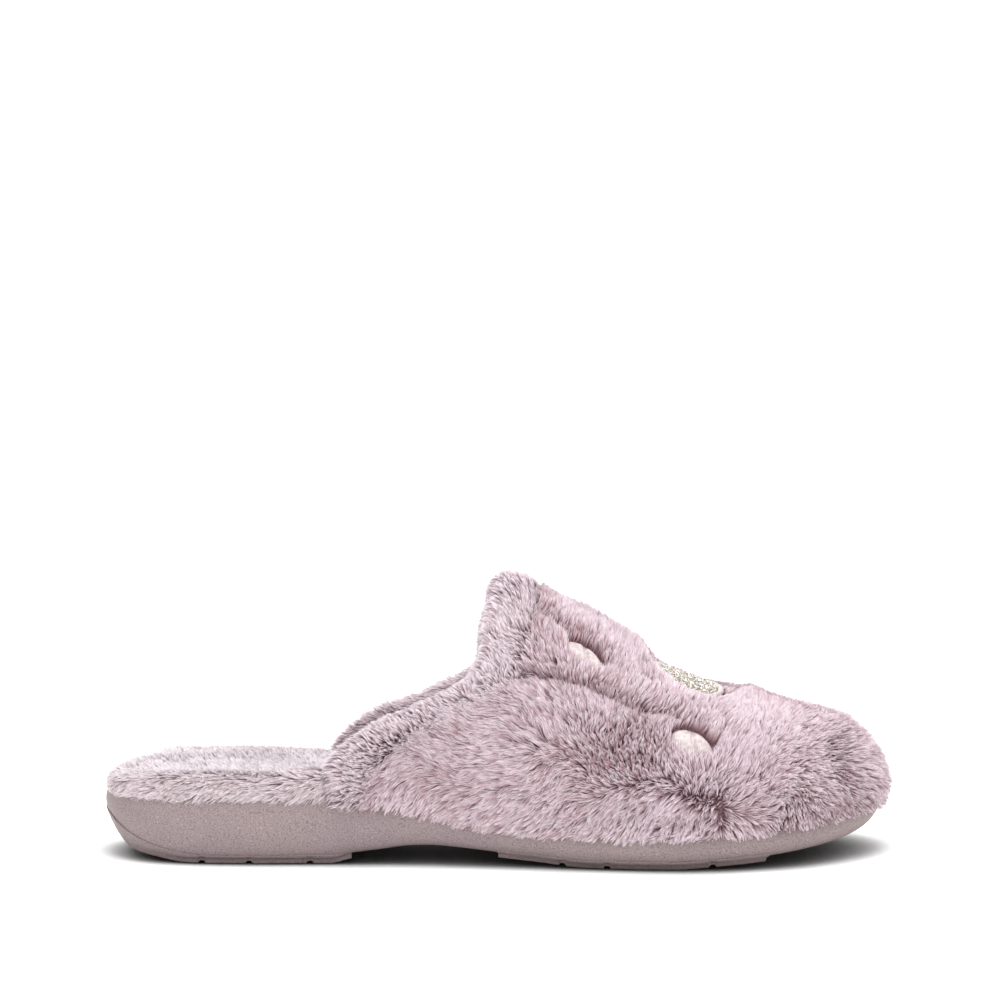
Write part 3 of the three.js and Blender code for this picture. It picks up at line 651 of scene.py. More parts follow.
# close the ends on the sole with rounded caps
ends = []
for i, s in ((0, 1), (-1, -1)):
    c = roll[i].mean(0)
    ends.append(c + (roll[i] - c) * 0.55 + np.array([0, 0, -0.25]))
coll = np.concatenate([ends[0][None], roll, ends[1][None]])
CS = len(coll)
cq = grid_faces(CS, RING, wrap_v=True)
cv = np.concatenate([coll.reshape(-1, 3), coll[0].mean(0)[None], coll[-1].mean(0)[None]])
ca, cb = CS * RING, CS * RING + 1
j = np.arange(RING)
j2 = (j + 1) % RING
cf = np.concatenate([tris(cq), np.stack([np.full(RING, ca), j2, j], -1), np.stack([np.full(RING, cb), (CS - 1) * RING + j, (CS - 1) * RING + j2], -1)])
cn = normals(cv, cf)
test = (CS // 2) * RING + int(RING * 4 / 21)
if cn[test] @ unit((cv[test] - mid[CS // 2 - 1, 0])) < 0:
    cf = cf[:, ::-1]
    cn = -cn
collar = make("collar_roll_ground", cv, cf, PLUSH_GROUND)
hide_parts("collar_roll")
collar_param = np.r_[np.tile(j / RING, CS), 0, 0]
collar_station = np.r_[np.repeat(np.arange(CS) / (CS - 1), RING), 0, 1]

# ---- sole -------------------------------------------------------------------------------------------
PROFILE = np.array([[6.5, 0.0], [3.2, 0.05], [1.0, 0.19], [-0.4, 0.42], [-0.7, 0.66], [-0.2, 0.90], [0.5, 1.0]])


def profile(m):
    """The side wall's inset and share of height, as a smooth curve through its knots."""
    k = np.vstack([PROFILE[0] * 2 - PROFILE[1], PROFILE, PROFILE[-1] * 2 - PROFILE[-2]])
    f = np.linspace(0, len(PROFILE) - 1 - 1e-9, m)
    i = np.floor(f).astype(int)
    s = (f - i)[:, None]
    a, b, c, d = k[i], k[i + 1], k[i + 2], k[i + 3]
    return 0.5 * (2 * b + (c - a) * s + (2 * a - 5 * b + 4 * c - d) * s * s + (3 * b - a - 3 * c + d) * s ** 3)


TN = 420
ts = np.arange(TN) / TN


def plan_ring(inset, zfun):
    p, _ = outline(ts, inset)
    return np.stack([p[:, 0], p[:, 1], zfun(p[:, 0])], -1)


rings = []
for inset, s in profile(30):
    rings.append(plan_ring(inset, lambda x, s=s: Z_UNDER(x) + (Z_RIM(x) - Z_UNDER(x)) * s))
for inset, dz in ((0.85, 0.16), (1.3, 0.2), (2.3, 0.12), (2.8, -0.1), (3.0, -0.5)):
    rings.append(plan_ring(inset, lambda x, dz=dz: Z_RIM(x) + dz))
rings.append(plan_ring(3.3, lambda x: np.maximum(Z_RIM(x) - 5.0, Z_UNDER(x) + 3.2)))
sv = np.concatenate(rings)
sq = [grid_faces(len(rings), TN, wrap_v=True)]
for o, flip in ((0, True), ((len(rings) - 1) * TN, False)):
    h = np.arange(TN // 2)
    q = np.stack([h, h + 1, TN - h - 1, (TN - h) % TN], -1) + o
    sq.append(q[:, ::-1] if flip else q)
sole = make("sole_unit_surface", sv, np.concatenate(sq), SOLE, clean=True)
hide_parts("sole_unit")


def side_inset(s):
    pr = profile(60)
    return np.interp(s, pr[:, 1], pr[:, 0])


def build_tread(name, halves, node):
    """halves: list of rings (same count each); caps zip each ring's start half to its end half."""
    n = len(halves[0])
    v = np.concatenate(halves)
    q = [grid_faces(len(halves), n, wrap_v=True)]
    ob_faces = [np.concatenate(q)]
    fans = []
    for o, flip in ((0, True), ((len(halves) - 1) * n, False)):
        h = np.arange(n // 2)
        f = np.stack([h, h + 1, n - h - 2, n - h - 1], -1) + o
        fans.append(f[:, ::-1] if flip else f)
    ob = make(name, v, np.concatenate(ob_faces + fans), TREAD, clean=True)
    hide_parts(node)
    return ob


def tread_rings(t_lat, t_med, grooves_at, wrap_z, whole_heel):
    """Rings of one pad. The heel pad runs round the heel; the other is two sides and two straight ends."""
    def levels(t):
        rows = []
        for inset, zoff, depth in ((9.0, -1.8, 1.0), (6.2, -1.8, 1.0), (5.0, -1.66, 1.0), (4.35, -1.2, 0.8)):
            p, _ = outline(t, inset)
            cut = np.max([1 - smooth(0.7, 1.25, np.abs(p[:, 0] - g)) for g in grooves_at], axis=0)
            rows.append(np.stack([p[:, 0], p[:, 1], Z_UNDER(p[:, 0]) + zoff + cut * depth * 0.9], -1))
        x0 = outline(t, 3.0)[0][:, 0]
        s_top = np.clip((wrap_z(x0) - Z_UNDER(x0)) / (Z_RIM(x0) - Z_UNDER(x0)), 0.02, 0.9)
        for k in np.linspace(0.15, 1, 9):
            s = s_top * k
            p, _ = outline(t, side_inset(s) - 0.55)
            cut = np.max([1 - smooth(0.7, 1.25, np.abs(p[:, 0] - g)) for g in grooves_at], axis=0) * (1 - k)
            p, _ = outline(t, side_inset(s) - 0.55 + 0.8 * cut)
            z = Z_UNDER(p[:, 0]) + (Z_RIM(p[:, 0]) - Z_UNDER(p[:, 0])) * s - 0.5 * (1 - k)
            rows.append(np.stack([p[:, 0], p[:, 1], z + cut * 0.4], -1))
        for di, dz in ((-0.3, 0.25), (0.5, 0.3)):
            p, _ = outline(t, side_inset(s_top) + di)
            rows.append(np.stack([p[:, 0], p[:, 1], Z_UNDER(p[:, 0]) + (Z_RIM(p[:, 0]) - Z_UNDER(p[:, 0])) * s_top + dz], -1))
        p, _ = outline(t, 9.0)
        rows.append(np.stack([p[:, 0], p[:, 1], Z_UNDER(p[:, 0]) + 0.2], -1))
        return rows

    m = 20
    w = (np.arange(1, m) / m)[:, None]
    if whole_heel:
        t = np.concatenate([np.linspace(0, t_lat, 260), np.linspace(t_med - 1, 0, 260)[:-1]])
        out = []
        for r in levels(t):
            a, b = r[:260], r[260:]
            out.append(np.concatenate([a, a[-1] * (1 - w) + b[0] * w, b]))
        return out
    ta, tb = np.linspace(t_lat[0], t_lat[1], 260), np.linspace(t_med[1], t_med[0], 260)
    la, lb = levels(ta), levels(tb)
    out = []
    for a, b in zip(la, lb):
        half = m // 2
        rear = b[-1] * (1 - w) + a[0] * w
        out.append(np.concatenate([rear[half - 1:], a, a[-1] * (1 - w) + b[0] * w, b, rear[:half - 1]]))
    return out


heel_wrap = mono([[-3, 13.2], [1, 13.0], [4, 12.4], [9, 9.8], [14, 7.2], [19, 5.3], [27.6, 3.6], [33, 3.0], [40, 2.9], [83, 3.6]])
hr = tread_rings(float(edge(82.5, -1, 4.0)[1]), float(edge(82.5, 1, 4.0)[1]), [32.4, 48.2, 68.7], heel_wrap, True)
build_tread("heel_tread_surface", hr, "heel_tread")
fore_wrap = mono([[125, 5.4], [132, 5.3], [145, 4.4], [160, 3.2], [190, 3.1], [205, 4.0], [221, 5.2], [226, 5.6]])
fr = tread_rings([float(edge(131.5, -1, 4.0)[1]), float(edge(221, -1, 4.0)[1])], [float(edge(131.5, 1, 4.0)[1]), float(edge(221, 1, 4.0)[1])], [153, 167.8, 202.9], fore_wrap, False)
build_tread("forefoot_tread_surface", fr, "forefoot_tread")

# ---- heel band and sock -----------------------------------------------------------------------------
HB = 300
ta, tb = float(edge(76.0, -1, 0.0)[1]), float(edge(76.0, 1, 0.0)[1]) - 1
ht = np.linspace(ta, tb, HB)
band_knots = [(3.6, 22.4), (2.6, 22.4), (2.0, 23.0), (1.8, 24.8), (2.1, 26.8), (3.0, 28.4), (4.6, 29.3), (6.5, 29.5), (6.5, 28.4), (4.0, 26.0)]
hk = []
for inset, z in band_knots:
    p, _ = outline(ht, inset)
    hk.append(np.stack([p[:, 0], p[:, 1], np.full(HB, z)], -1))
hk = np.stack(hk, 1)
# the band sinks towards the back of the heel
hk[..., 2] = 22.4 + (hk[..., 2] - 22.4) * (1 - 0.46 * (1 - smooth(0, 22, hk[..., 0])))
hk[..., 2] += np.where(np.array([z > 23 for _, z in band_knots])[None], 0.35 * noise(hk, 18, 21), 0)
HR = 50
hb = closed_spline(hk, HR)
hv = np.concatenate([hb.reshape(-1, 3), hb[0].mean(0)[None], hb[-1].mean(0)[None]])
j = np.arange(HR)
j2 = (j + 1) % HR
hf = np.concatenate([tris(grid_faces(HB, HR, wrap_v=True)), np.stack([np.full(HR, HB * HR), j2, j], -1), np.stack([np.full(HR, HB * HR + 1), (HB - 1) * HR + j, (HB - 1) * HR + j2], -1)])
hn = normals(hv, hf)
test = (HB // 2) * HR + int(HR * 0.35)
if hn[test][0] > 0:
    hf, hn = hf[:, ::-1], -hn
band = make("heel_band_ground", hv, hf, SOCK_GROUND)
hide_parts("heel_edge_wrap")
band_param = np.r_[np.tile(j / HR, HB), 0, 0]

SOCK_IN = mono([[-2, 3.8], [58, 3.8], [72, 9.4], [262, 9.4]])


def sock_ring(scale, rise, extra=0.0):
    p, _ = outline(ts, 0.0)
    inset = SOCK_IN(p[:, 0]) + extra
    p, _ = outline(ts, inset)
    mx = np.clip(p[:, 0], 36, 218)
    x, y = mx + (p[:, 0] - mx) * scale, (p[:, 1] + 0.5) * scale - 0.5
    drop = 3.6 * (1 - smooth(2, 24, x)) * smooth(0.7, 1.0, scale)
    return np.stack([x, y, Z_BED(x) + 2.7 + rise - drop], -1)


rows = [sock_ring(1.0, -2.3), sock_ring(1.0, -0.9), sock_ring(0.985, -0.25, 0.3), sock_ring(0.96, 0.15, 0.6)]
for sc in (0.9, 0.8, 0.68, 0.56, 0.44, 0.32, 0.2, 0.1):
    rows.append(sock_ring(sc, 0.15 - 0.9 * (1 - sc) ** 1.5, 0.6))
sock_v = np.concatenate(rows)
# the cushion's face dimples a little under the pile
sock_v[TN * 3:, 2] += 0.35 * noise(sock_v[TN * 3:], 22, 31) + 0.15 * noise(sock_v[TN * 3:], 8, 32)
sock_q = [grid_faces(len(rows), TN, wrap_v=True)]
for o, flip in ((0, True), ((len(rows) - 1) * TN, False)):
    h = np.arange(TN // 2)
    q = np.stack([h, h + 1, TN - h - 1, (TN - h) % TN], -1) + o
    sock_q.append(q[:, ::-1] if flip else q)
sock = make("sock_lining_ground", sock_v, np.concatenate(sock_q), SOCK_GROUND, clean=True)
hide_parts("sock_lining")


# ---- pile -------------------------------------------------------------------------------------------
def nearest(points, centres):
    kd = KDTree(len(centres))
    for i, c in enumerate(centres.tolist()):
        kd.insert(c, i)
    kd.balance()
    find = kd.find
    return np.array([find(p)[1] for p in points.tolist()])


def strands(root, nrm, flow, length, lean0, lean1, rng, segments=5, clumps=((0.012, 0.16), (0.05, 0.25), (0.22, 0.62)), curl=0.35, curl_len=6.0, jitter=0.14):
    """Centre lines of fibres: they leave the ground at lean0 from its normal and bend to lean1 along the flow."""
    n = len(root)
    flow = unit(flow - nrm * (flow * nrm).sum(1, keepdims=True))
    across = np.cross(nrm, flow)
    phase = noise(root, 4.0, 51) * 2.2
    amp = curl * (0.6 + 0.5 * noise(root, 9.0, 52))
    jit = rng.normal(0, jitter, (n, 2))
    pts = [root]
    p = root
    for k in range(segments):
        s = (k + 0.5) / segments
        a = lean0 + (lean1 - lean0) * s ** 0.8
        wob = amp * np.sin(2 * math.pi * (s * length / curl_len) + phase * math.pi) * (0.3 + s)
        d = nrm * np.cos(a)[:, None] + flow * (np.sin(a) + jit[:, 0] * s)[:, None] + across * (wob + jit[:, 1] * (0.4 + s))[:, None]
        p = p + unit(d) * (length / segments)[:, None]
        pts.append(p)
    pts = np.stack(pts, 1)
    s = np.linspace(0, 1, segments + 1)[None, :, None]
    for share, strength in clumps:
        idx = rng.choice(n, max(int(n * share), 1), replace=False)
        c = idx[nearest(root, root[idx])]
        pts = pts + (pts[c] - pts) * strength * s ** 1.3
        lock = rng.normal(0, 1, n)[c]
    return pts, lock


def ribbons(name, pts, nrm, tone, width, rng, material, slot, twist=0.7, follow=0.55):
    n, k, _ = pts.shape
    tan = unit(np.gradient(pts, axis=1))
    w = unit(np.cross(tan, nrm[:, None]))
    b = np.cross(tan, w)
    th = rng.uniform(-twist, twist, n)[:, None, None]
    w = w * np.cos(th) + b * np.sin(th)
    s = np.linspace(0, 1, k)
    half = width[:, None] * 0.5 * (0.75 + 0.25 * np.sin(np.pi * np.minimum(s * 1.3, 1)))[None] * np.sqrt(np.clip(1.02 - s ** 3, 0, 1))[None]
    left = pts[:, :-1] - w[:, :-1] * half[:, :-1, None]
    right = pts[:, :-1] + w[:, :-1] * half[:, :-1, None]
    m = k - 1
    v = np.concatenate([np.stack([left, right], 2).reshape(n, 2 * m, 3), pts[:, -1:]], 1)
    across = nrm[:, None] - tan * (tan * nrm[:, None]).sum(-1, keepdims=True)
    sh = unit(nrm[:, None] * (1 - follow) + unit(across + 1e-6) * follow + rng.normal(0, 0.32, (n, 1, 3)))
    vn = np.concatenate([np.repeat(sh[:, :-1], 2, axis=1), sh[:, -1:]], 1)
    per = 2 * m + 1
    base = (np.arange(n) * per)[:, None, None]
    i = np.arange(m - 1)
    quads = (base + np.stack([2 * i, 2 * i + 1, 2 * i + 3, 2 * i + 2], -1)[None]).reshape(-1, 4)
    tips = (base[:, 0] + np.array([[2 * m - 2, 2 * m - 1, 2 * m]])).reshape(-1, 3)
    # faces look away from the ground
    fn = np.cross(v[:, 1] - v[:, 0], v[:, 3] - v[:, 0])
    flip = (fn * nrm).sum(1) < 0
    fq = np.repeat(flip, m - 1)
    quads[fq] = quads[fq][:, ::-1]
    tips[flip] = tips[flip][:, ::-1]
    u = np.clip(tone, 0.03, 0.97)
    uu = np.stack([np.repeat((u - 0.004)[:, None], m, 1), np.repeat((u + 0.004)[:, None], m, 1)], 2).reshape(n, 2 * m)
    vv = np.repeat(s[None, :-1], n, 0)
    vv = np.repeat(vv, 2, axis=1)
    uv = np.stack([np.concatenate([uu, u[:, None]], 1), np.concatenate([vv, np.full((n, 1), 1.0)], 1)], -1)
    uv[..., 1] = 0.01 + 0.98 * uv[..., 1]
    return make(name, v.reshape(-1, 3), [quads, tips], material, uv=uv.reshape(-1, 2), vertex_normals=vn.reshape(-1, 3))


MOST = 22000


def pile(name, data, width, rng, material, slot, **kw):
    """Splits a stretch of pile into pieces small enough to hand on."""
    pts, nrm, tone = data
    groups = max(1, math.ceil(len(pts) / MOST))
    order = np.argsort(pts[:, 0, 0], kind="stable")
    for g, part in enumerate(np.array_split(order, groups)):
        ribbons(f"{name}_{g + 1}" if groups > 1 else name, pts[part], nrm[part], tone[part], width[part], rng, material, slot, **kw)


def turned(flow, nrm, angle):
    flow = unit(flow - nrm * (flow * nrm).sum(1, keepdims=True))
    return flow * np.cos(angle)[:, None] + np.cross(nrm, flow) * np.sin(angle)[:, None]


# Combing of the vamp's pile in side view, one row a place: x and height across the view in mm, direction of the tips in
# degrees (0 to the toe, 90 up), lean at the root, final lean, length in mm, crinkle, and a tone offset. The deep
# negative offsets at the throat and between the lateral leaves are painted shade; the rest are small tone offsets.
COMB = np.array([
    (83, 21, 215, 30, 78, 7.5, 0.5, -0.05), (93, 27, 205, 30, 80, 8, 0.35, -0.05), (95, 17, 210, 30, 82, 7.5, 0.3, 0.05),
    (109, 38, 168, 30, 82, 8.5, 0.3, 0), (115, 27, 188, 30, 82, 8.5, 0.35, -0.05), (112, 15, 205, 30, 84, 7.5, 0.25, 0.05),
    (129, 46, 158, 28, 80, 8.5, 0.3, 0), (132, 36, 172, 28, 82, 8.5, 0.3, 0.03), (135, 26, 195, 28, 80, 8.2, 0.4, -0.03),
    (132, 14, 212, 30, 84, 7.5, 0.3, 0.05), (147, 49, 145, 25, 72, 8, 0.3, 0.03), (152, 39, 140, 22, 65, 7.8, 0.35, 0),
    (152, 26, 200, 28, 76, 7.5, 0.5, -0.05), (149, 13, 222, 30, 80, 7.2, 0.4, -0.02), (164, 43, 118, 20, 55, 7, 0.4, 0),
    (173, 34, 100, 8, 32, 5.4, 0.7, -0.3), (166, 26, 120, 10, 38, 5.6, 0.7, -0.26), (183, 29, 95, 8, 35, 5.4, 0.7, -0.26),
    (169, 16, 228, 26, 74, 7.6, 0.6, 0), (186, 17, 228, 22, 66, 7.2, 0.6, 0), (179, 9, 225, 30, 78, 7, 0.45, 0.05),
    (198, 12, 234, 26, 70, 7.2, 0.5, 0.03), (214, 11, 48, 24, 64, 6.6, 0.4, 0.02), (200, 24, 85, 14, 48, 6.8, 0.4, 0.04),
    (211, 24, 65, 20, 60, 7.2, 0.3, 0.05), (221, 19, 40, 20, 55, 6, 0.6, 0), (147, 68, 112, 15, 50, 6.4, 0.3, 0),
    (159, 58, 95, 12, 45, 6.4, 0.35, -0.04), (173, 53, 80, 12, 45, 6.4, 0.35, 0), (184, 49, 65, 14, 48, 6, 0.35, 0),
    (166, 71, 100, 10, 42, 6.2, 0.3, 0.05), (179, 63, 95, 10, 40, 6, 0.3, 0.05), (196, 47, 60, 14, 48, 5.8, 0.4, -0.02),
    (208, 44, 60, 14, 50, 6, 0.4, 0), (221, 43, 50, 14, 48, 6, 0.5, 0.05), (220, 51, 75, 10, 38, 6, 0.45, 0.1),
    (233, 41, 20, 14, 50, 6, 0.6, 0), (247, 34, -20, 16, 46, 7.6, 0.6, 0), (233, 28, 5, 14, 46, 6.0, 0.8, -0.03),
    (247, 20, -60, 16, 55, 6.4, 0.9, -0.15), (257, 26, -50, 16, 52, 8, 0.6, 0.04), (228, 16, 262, 14, 50, 6.0, 0.9, -0.06),
    (237, 49, 60, 10, 40, 6, 0.45, 0.1), (250, 44, 10, 12, 38, 8, 0.5, 0.05), (143, 81, 115, 12, 45, 5.2, 0.25, -0.2),
    (152, 76, 105, 12, 42, 6.2, 0.3, 0.03), (139, 54, 150, 22, 62, 7.2, 0.35, 0)])



def combed(root, side):
    """Direction, lean, length, crinkle and tone offset of the pile, blended from the table by nearness in side view;
    the tone offset is partly painted shade.
    """
    y = np.where(side < 0, root[:, 1], 2 * Y_RIDGE(root[:, 0]) - root[:, 1])
    v = root[:, 2] * math.cos(ELEV) + y * math.sin(ELEV)
    d2 = (root[:, 0, None] - COMB[None, :, 0]) ** 2 + (v[:, None] - COMB[None, :, 1]) ** 2
    w = 1 / (d2 + 14.0) ** 2.2
    w /= w.sum(1, keepdims=True)
    a = np.radians(COMB[:, 2])
    return w @ np.cos(a), w @ np.sin(a), w @ COMB[:, 3:]


def vamp_pile():
    rng = np.random.default_rng(11)
    keep = body.astype(float)
    surf = Surface(V_GROUND, V_T, dict(x=V_A["x"], phi=V_A["phi"], side=V_A["side"]), V_N)
    root, nrm, a = surf.sample(6.4 * THIN, rng, keep)
    x, phi, side = a["x"], a["phi"], np.where(a["side"] < 0, -1, 1)
    out = patch_field(x, phi, side)
    ok = out > 0.15
    root, nrm, x, phi, side, out = root[ok], nrm[ok], x[ok], phi[ok], side[ok], out[ok]
    h = phi / HALF
    g = groove(root)
    n = len(root)
    along, up, rest = combed(root, side)
    # on the medial side the tone offsets, partly painted shade, are cut to 0.45 of the table's
    lean0, lean1, length, crinkle, shade = np.radians(rest[:, 0]), np.radians(rest[:, 1]), rest[:, 2], rest[:, 3], rest[:, 4] * np.where(side > 0, 0.45, 1.0)
    still = 1 - smooth(0.25, 0.8, np.hypot(along, up))
    lean1 *= 1 - 0.45 * still
    away = np.stack([root[:, 0] - np.clip(root[:, 0], 60, 215), root[:, 1] - Y_RIDGE(root[:, 0])], -1)
    reach = np.linalg.norm(away, axis=1)
    away = away / np.maximum(reach, 9.0)[:, None]
    climb = np.concatenate([-away, np.full((n, 1), 0.8)], 1)
    climb = climb - nrm * (climb * nrm).sum(1, keepdims=True)
    flow = np.array([1.0, 0, 0]) * along[:, None] + climb * up[:, None]
    flow = turned(flow, nrm, 0.55 * noise(root, 17, 65) + 0.45 * noise(root, 7, 66) + rng.normal(0, 0.12, n))
    ridge = smooth(2, 16, reach)
    lean1 *= 0.6 + 0.4 * ridge
    lean0 += np.radians(6) * noise(root, 9, 67)
    lean1 += np.radians(12) * noise(root, 9, 68) + rng.normal(0, 0.09, n)
    length = length * (1 + 0.14 * noise(root, 12, 69) + rng.normal(0, 0.10, n))
    # towards a groove or the motif the pile is short and rolls over the edge
    length *= 0.60 + 0.40 * smooth(0.5, 4.0, g)
    c = patch_reach(CENTRE_PATCH, x, phi, side)[2] - 2.3
    length *= 0.40 + 0.60 * smooth(0.5, 8.0, c)
    near = 1 - smooth(0, 7, c)
    flow = unit(flow) * (1 - 0.8 * near[:, None]) - unit(climb + 1e-6) * (0.8 * near[:, None])
    lean1 += 0.35 * near
    # the medial slope beside the motif lies flatter
    length *= 1 - 0.42 * smooth(4, 12, root[:, 1] - Y_RIDGE(x)) * (1 - smooth(26, 36, reach)) * smooth(168, 180, x) * (1 - smooth(218, 232, x))
    # pile below a leaf leans up over its edge, pile above it stands back from it
    over, behind = np.zeros(n), np.zeros(n)
    for leaf in LEAVES:
        _, b, d = patch_reach(leaf, x, phi, side)
        over = np.maximum(over, (1 - smooth(0.5, 4.5, d)) * smooth(0.5, -1.5, b))
        behind = np.maximum(behind, (1 - smooth(0.0, 3.0, d)) * smooth(-1.5, 0.5, b))
    flow = unit(flow) * (1 - 0.85 * over[:, None]) + unit(climb + 1e-6) * (0.85 * over[:, None])
    lean0 += 0.30 * over
    lean1 += 0.30 * over
    length *= 1 - 0.30 * behind
    # along the sole's edge it is brushed down
    low = 1 - smooth(0.03, 0.13, h)
    flow = unit(flow) * (1 - 0.6 * low[:, None]) + np.array([-0.45, 0, -0.7]) * (0.6 * low[:, None])
    length *= 1 - 0.2 * low
    lean0 += 0.15 * low
    pts, lock = strands(root, nrm, flow, length, lean0, lean1, rng, curl=1.35 * crinkle + 0.10 * noise(root, 10, 70), curl_len=6.0 - 2.6 * smooth(0.45, 0.8, crinkle))
    tone = 0.60 + 0.8 * shade + 0.12 * noise(root, 24, 71) + 0.10 * noise(root, 6, 72) + rng.normal(0, 0.11, n) + 0.21 * lock
    # painted shade: the crown of the toe box is coloured darker than the sides, and the rear of the vamp is darker too
    tone -= 0.24 * smooth(206, 218, x) * (1 - smooth(242, 252, x)) * (1 - smooth(10, 24, reach)) + 0.12 * (1 - smooth(112, 150, x))
    # painted shade in the grooves and on the pile above each leaf; painted light where the flow dies out, over the dark
    # roots that show there
    tone -= 0.12 * (1 - smooth(0, 4, g)) + 0.16 * behind - 0.12 * still
    width = rng.uniform(0.20, 0.34, n) / math.sqrt(THIN)
    pile("vamp_pile", (pts, nrm, tone), width, rng, PILE, "plush")


def collar_pile():
    rng = np.random.default_rng(12)
    surf = Surface(cv, cf, dict(q=collar_param, s=collar_station), cn)
    q = collar_param[cf].mean(1)
    keep = ((q > 0.03) & (q < 0.64)).astype(float)
    root, nrm, a = surf.sample(7.5 * THIN, rng, keep)
    n = len(root)
    qq, st = a["q"], a["s"]
    sd = np.where(st < 0.5, -1.0, 1.0)
    up = smooth(0.30, 0.46, st) * (1 - smooth(0.54, 0.70, st))
    one = np.ones(n)
    # the outer leg lies back over the topline, the inner leg falls into the mouth
    outer = 1 - smooth(0.22, 0.34, qq)
    d1 = np.stack([-0.75 * one, 0 * one, 0.75 * one - 0.9 * (1 - up) * smooth(0.0, 0.16, 0.16 - np.minimum(st, 1 - st))], -1)
    d1 = d1 * (1 - up[:, None]) + np.stack([-0.35 * one, 0.25 * sd, 0.85 * one], -1) * up[:, None]
    d2 = np.stack([-0.15 * one, 0 * one, -one], -1)
    flow = d1 * outer[:, None] + d2 * (1 - outer[:, None])
    flow = turned(flow, nrm, 0.6 * noise(root, 13, 81) + 0.5 * noise(root, 5, 82) + rng.normal(0, 0.2, n))
    lean0 = np.radians(14 + 8 * noise(root, 8, 83))
    lean1 = np.radians(54 + 18 * noise(root, 8, 84)) + rng.normal(0, 0.12, n)
    length = 5.6 * (1 + 0.15 * noise(root, 9, 85) + rng.normal(0, 0.10, n))
    length *= 1 - 0.30 * smooth(0.30, 0.5, qq)
    seam = 1 - smooth(0.05, 0.13, qq)
    length *= (1 - 0.15 * seam) * (1 - 0.18 * up)
    ends = 1 - smooth(0.0, 0.12, np.minimum(st, 1 - st))
    pts, lock = strands(root, nrm, flow, length, lean0 * one, lean1, rng, curl=0.28 + 0.6 * seam, curl_len=5.0)
    # painted shade: darker along the seam; the pile is lighter where it stands up at the throat and towards its ends
    tone = 0.68 + 0.10 * noise(root, 20, 86) + 0.10 * noise(root, 5, 87) + rng.normal(0, 0.10, n) + 0.15 * lock + 0.30 * up - 0.06 * seam + 0.08 * ends
    width = rng.uniform(0.20, 0.34, n) / math.sqrt(THIN)
    pile("collar_pile", (pts, nrm, tone), width, rng, COLLAR_PILE, "plush")


def band_pile():
    rng = np.random.default_rng(13)
    surf = Surface(hv, hf, dict(q=band_param), hn)
    q = band_param[hf].mean(1)
    keep = ((q > 0.10) & (q < 0.74)).astype(float)
    root, nrm, a = surf.sample(8.0 * THIN, rng, keep)
    n = len(root)
    one = np.ones(n)
    # combed back round the heel and down
    side = np.where(root[:, 1] < 0, 1.0, -1.0)
    back = unit(np.stack([-one, -0.25 * np.sign(root[:, 1]) * 0, 0 * one], -1))
    flow = back * 0.95 + np.array([0, 0, -0.30])
    top = smooth(0.50, 0.66, a["q"])
    flow = turned(flow, nrm, 0.45 * noise(root, 14, 91) + 0.35 * noise(root, 5, 92) + rng.normal(0, 0.12, n))
    lean0 = np.radians(30 + 6 * noise(root, 8, 93)) * one
    lean1 = np.radians(74 + 12 * noise(root, 8, 94)) * one
    length = (4.8 - 1.2 * top) * (1 - 0.25 * (1 - smooth(2, 16, root[:, 0]))) * (1 + 0.14 * noise(root, 9, 95) + rng.normal(0, 0.1, n))
    pts, lock = strands(root, nrm, flow, length, lean0, lean1, rng, curl=0.26, clumps=((0.03, 0.14), (0.16, 0.5)))
    tone = 0.52 + 0.10 * noise(root, 18, 96) + 0.10 * noise(root, 5, 97) + rng.normal(0, 0.09, n) + 0.12 * lock + 0.12 * top
    width = rng.uniform(0.20, 0.32, n) / math.sqrt(THIN)
    pile("heel_band_pile", (pts, nrm, tone), width, rng, BAND_PILE, "plush")


def sock_pile():
    rng = np.random.default_rng(14)
    h = np.arange(TN // 2)
    strip = np.stack([h, h + 1, TN - h - 1, (TN - h) % TN], -1) + (len(rows) - 1) * TN
    f = tris(np.concatenate([grid_faces(len(rows), TN, wrap_v=True), strip]))
    f = f[(f[:, 0] != f[:, 1]) & (f[:, 1] != f[:, 2]) & (f[:, 2] != f[:, 0])]
    if normals(sock_v, f)[5 * TN][2] < 0:
        f = f[:, ::-1]
    tilt = np.cross(sock_v[f[:, 1]] - sock_v[f[:, 0]], sock_v[f[:, 2]] - sock_v[f[:, 0]])[:, 2]
    over = (tilt < 0) & (f.min(1) >= 3 * TN)
    f[over] = f[over][:, ::-1]
    n0 = normals(sock_v, f)
    surf = Surface(sock_v, f, dict(row=np.repeat(np.arange(len(rows)), TN).astype(float)), n0)
    c = sock_v[f].mean(1)
    keep = np.where(f.min(1) >= TN, 1.0, 0.0) * (0.12 + 0.88 * (1 - smooth(112, 150, c[:, 0])))
    root, nrm, a = surf.sample(5.0 * THIN, rng, keep)
    n = len(root)
    one = np.ones(n)
    # round its edge it lies out over the band
    rim = 1 - smooth(2.6, 4.6, a["row"])
    outward = unit(np.stack([root[:, 0] - np.clip(root[:, 0], 36, 218), root[:, 1] + 0.5, 0 * one], -1))
    flow = np.stack([-0.8 * one, 0.5 * noise(root, 30, 101), 0 * one], -1)
    flow = flow * (1 - 0.7 * rim[:, None]) + outward * (0.9 * rim[:, None])
    flow = turned(flow, nrm, 0.9 * noise(root, 16, 102) + 0.5 * noise(root, 6, 103) + rng.normal(0, 0.3, n))
    lean0 = np.radians(14) * one
    lean1 = np.radians(46 + 16 * noise(root, 9, 104) + 18 * rim) * one
    length = (2.5 + 1.5 * rim) * (1 + 0.12 * noise(root, 9, 105) + rng.normal(0, 0.10, n))
    pts, lock = strands(root, nrm, flow, length, lean0, lean1, rng, segments=3, curl=0.15, clumps=((0.05, 0.4),))
    tone = 0.60 + 0.12 * noise(root, 18, 106) + 0.12 * noise(root, 5, 107) + rng.normal(0, 0.08, n) + 0.08 * lock
    width = rng.uniform(0.26, 0.42, n) / math.sqrt(THIN)
    pile("sock_pile", (pts, nrm, tone), width, rng, SOCK_PILE, "sock")


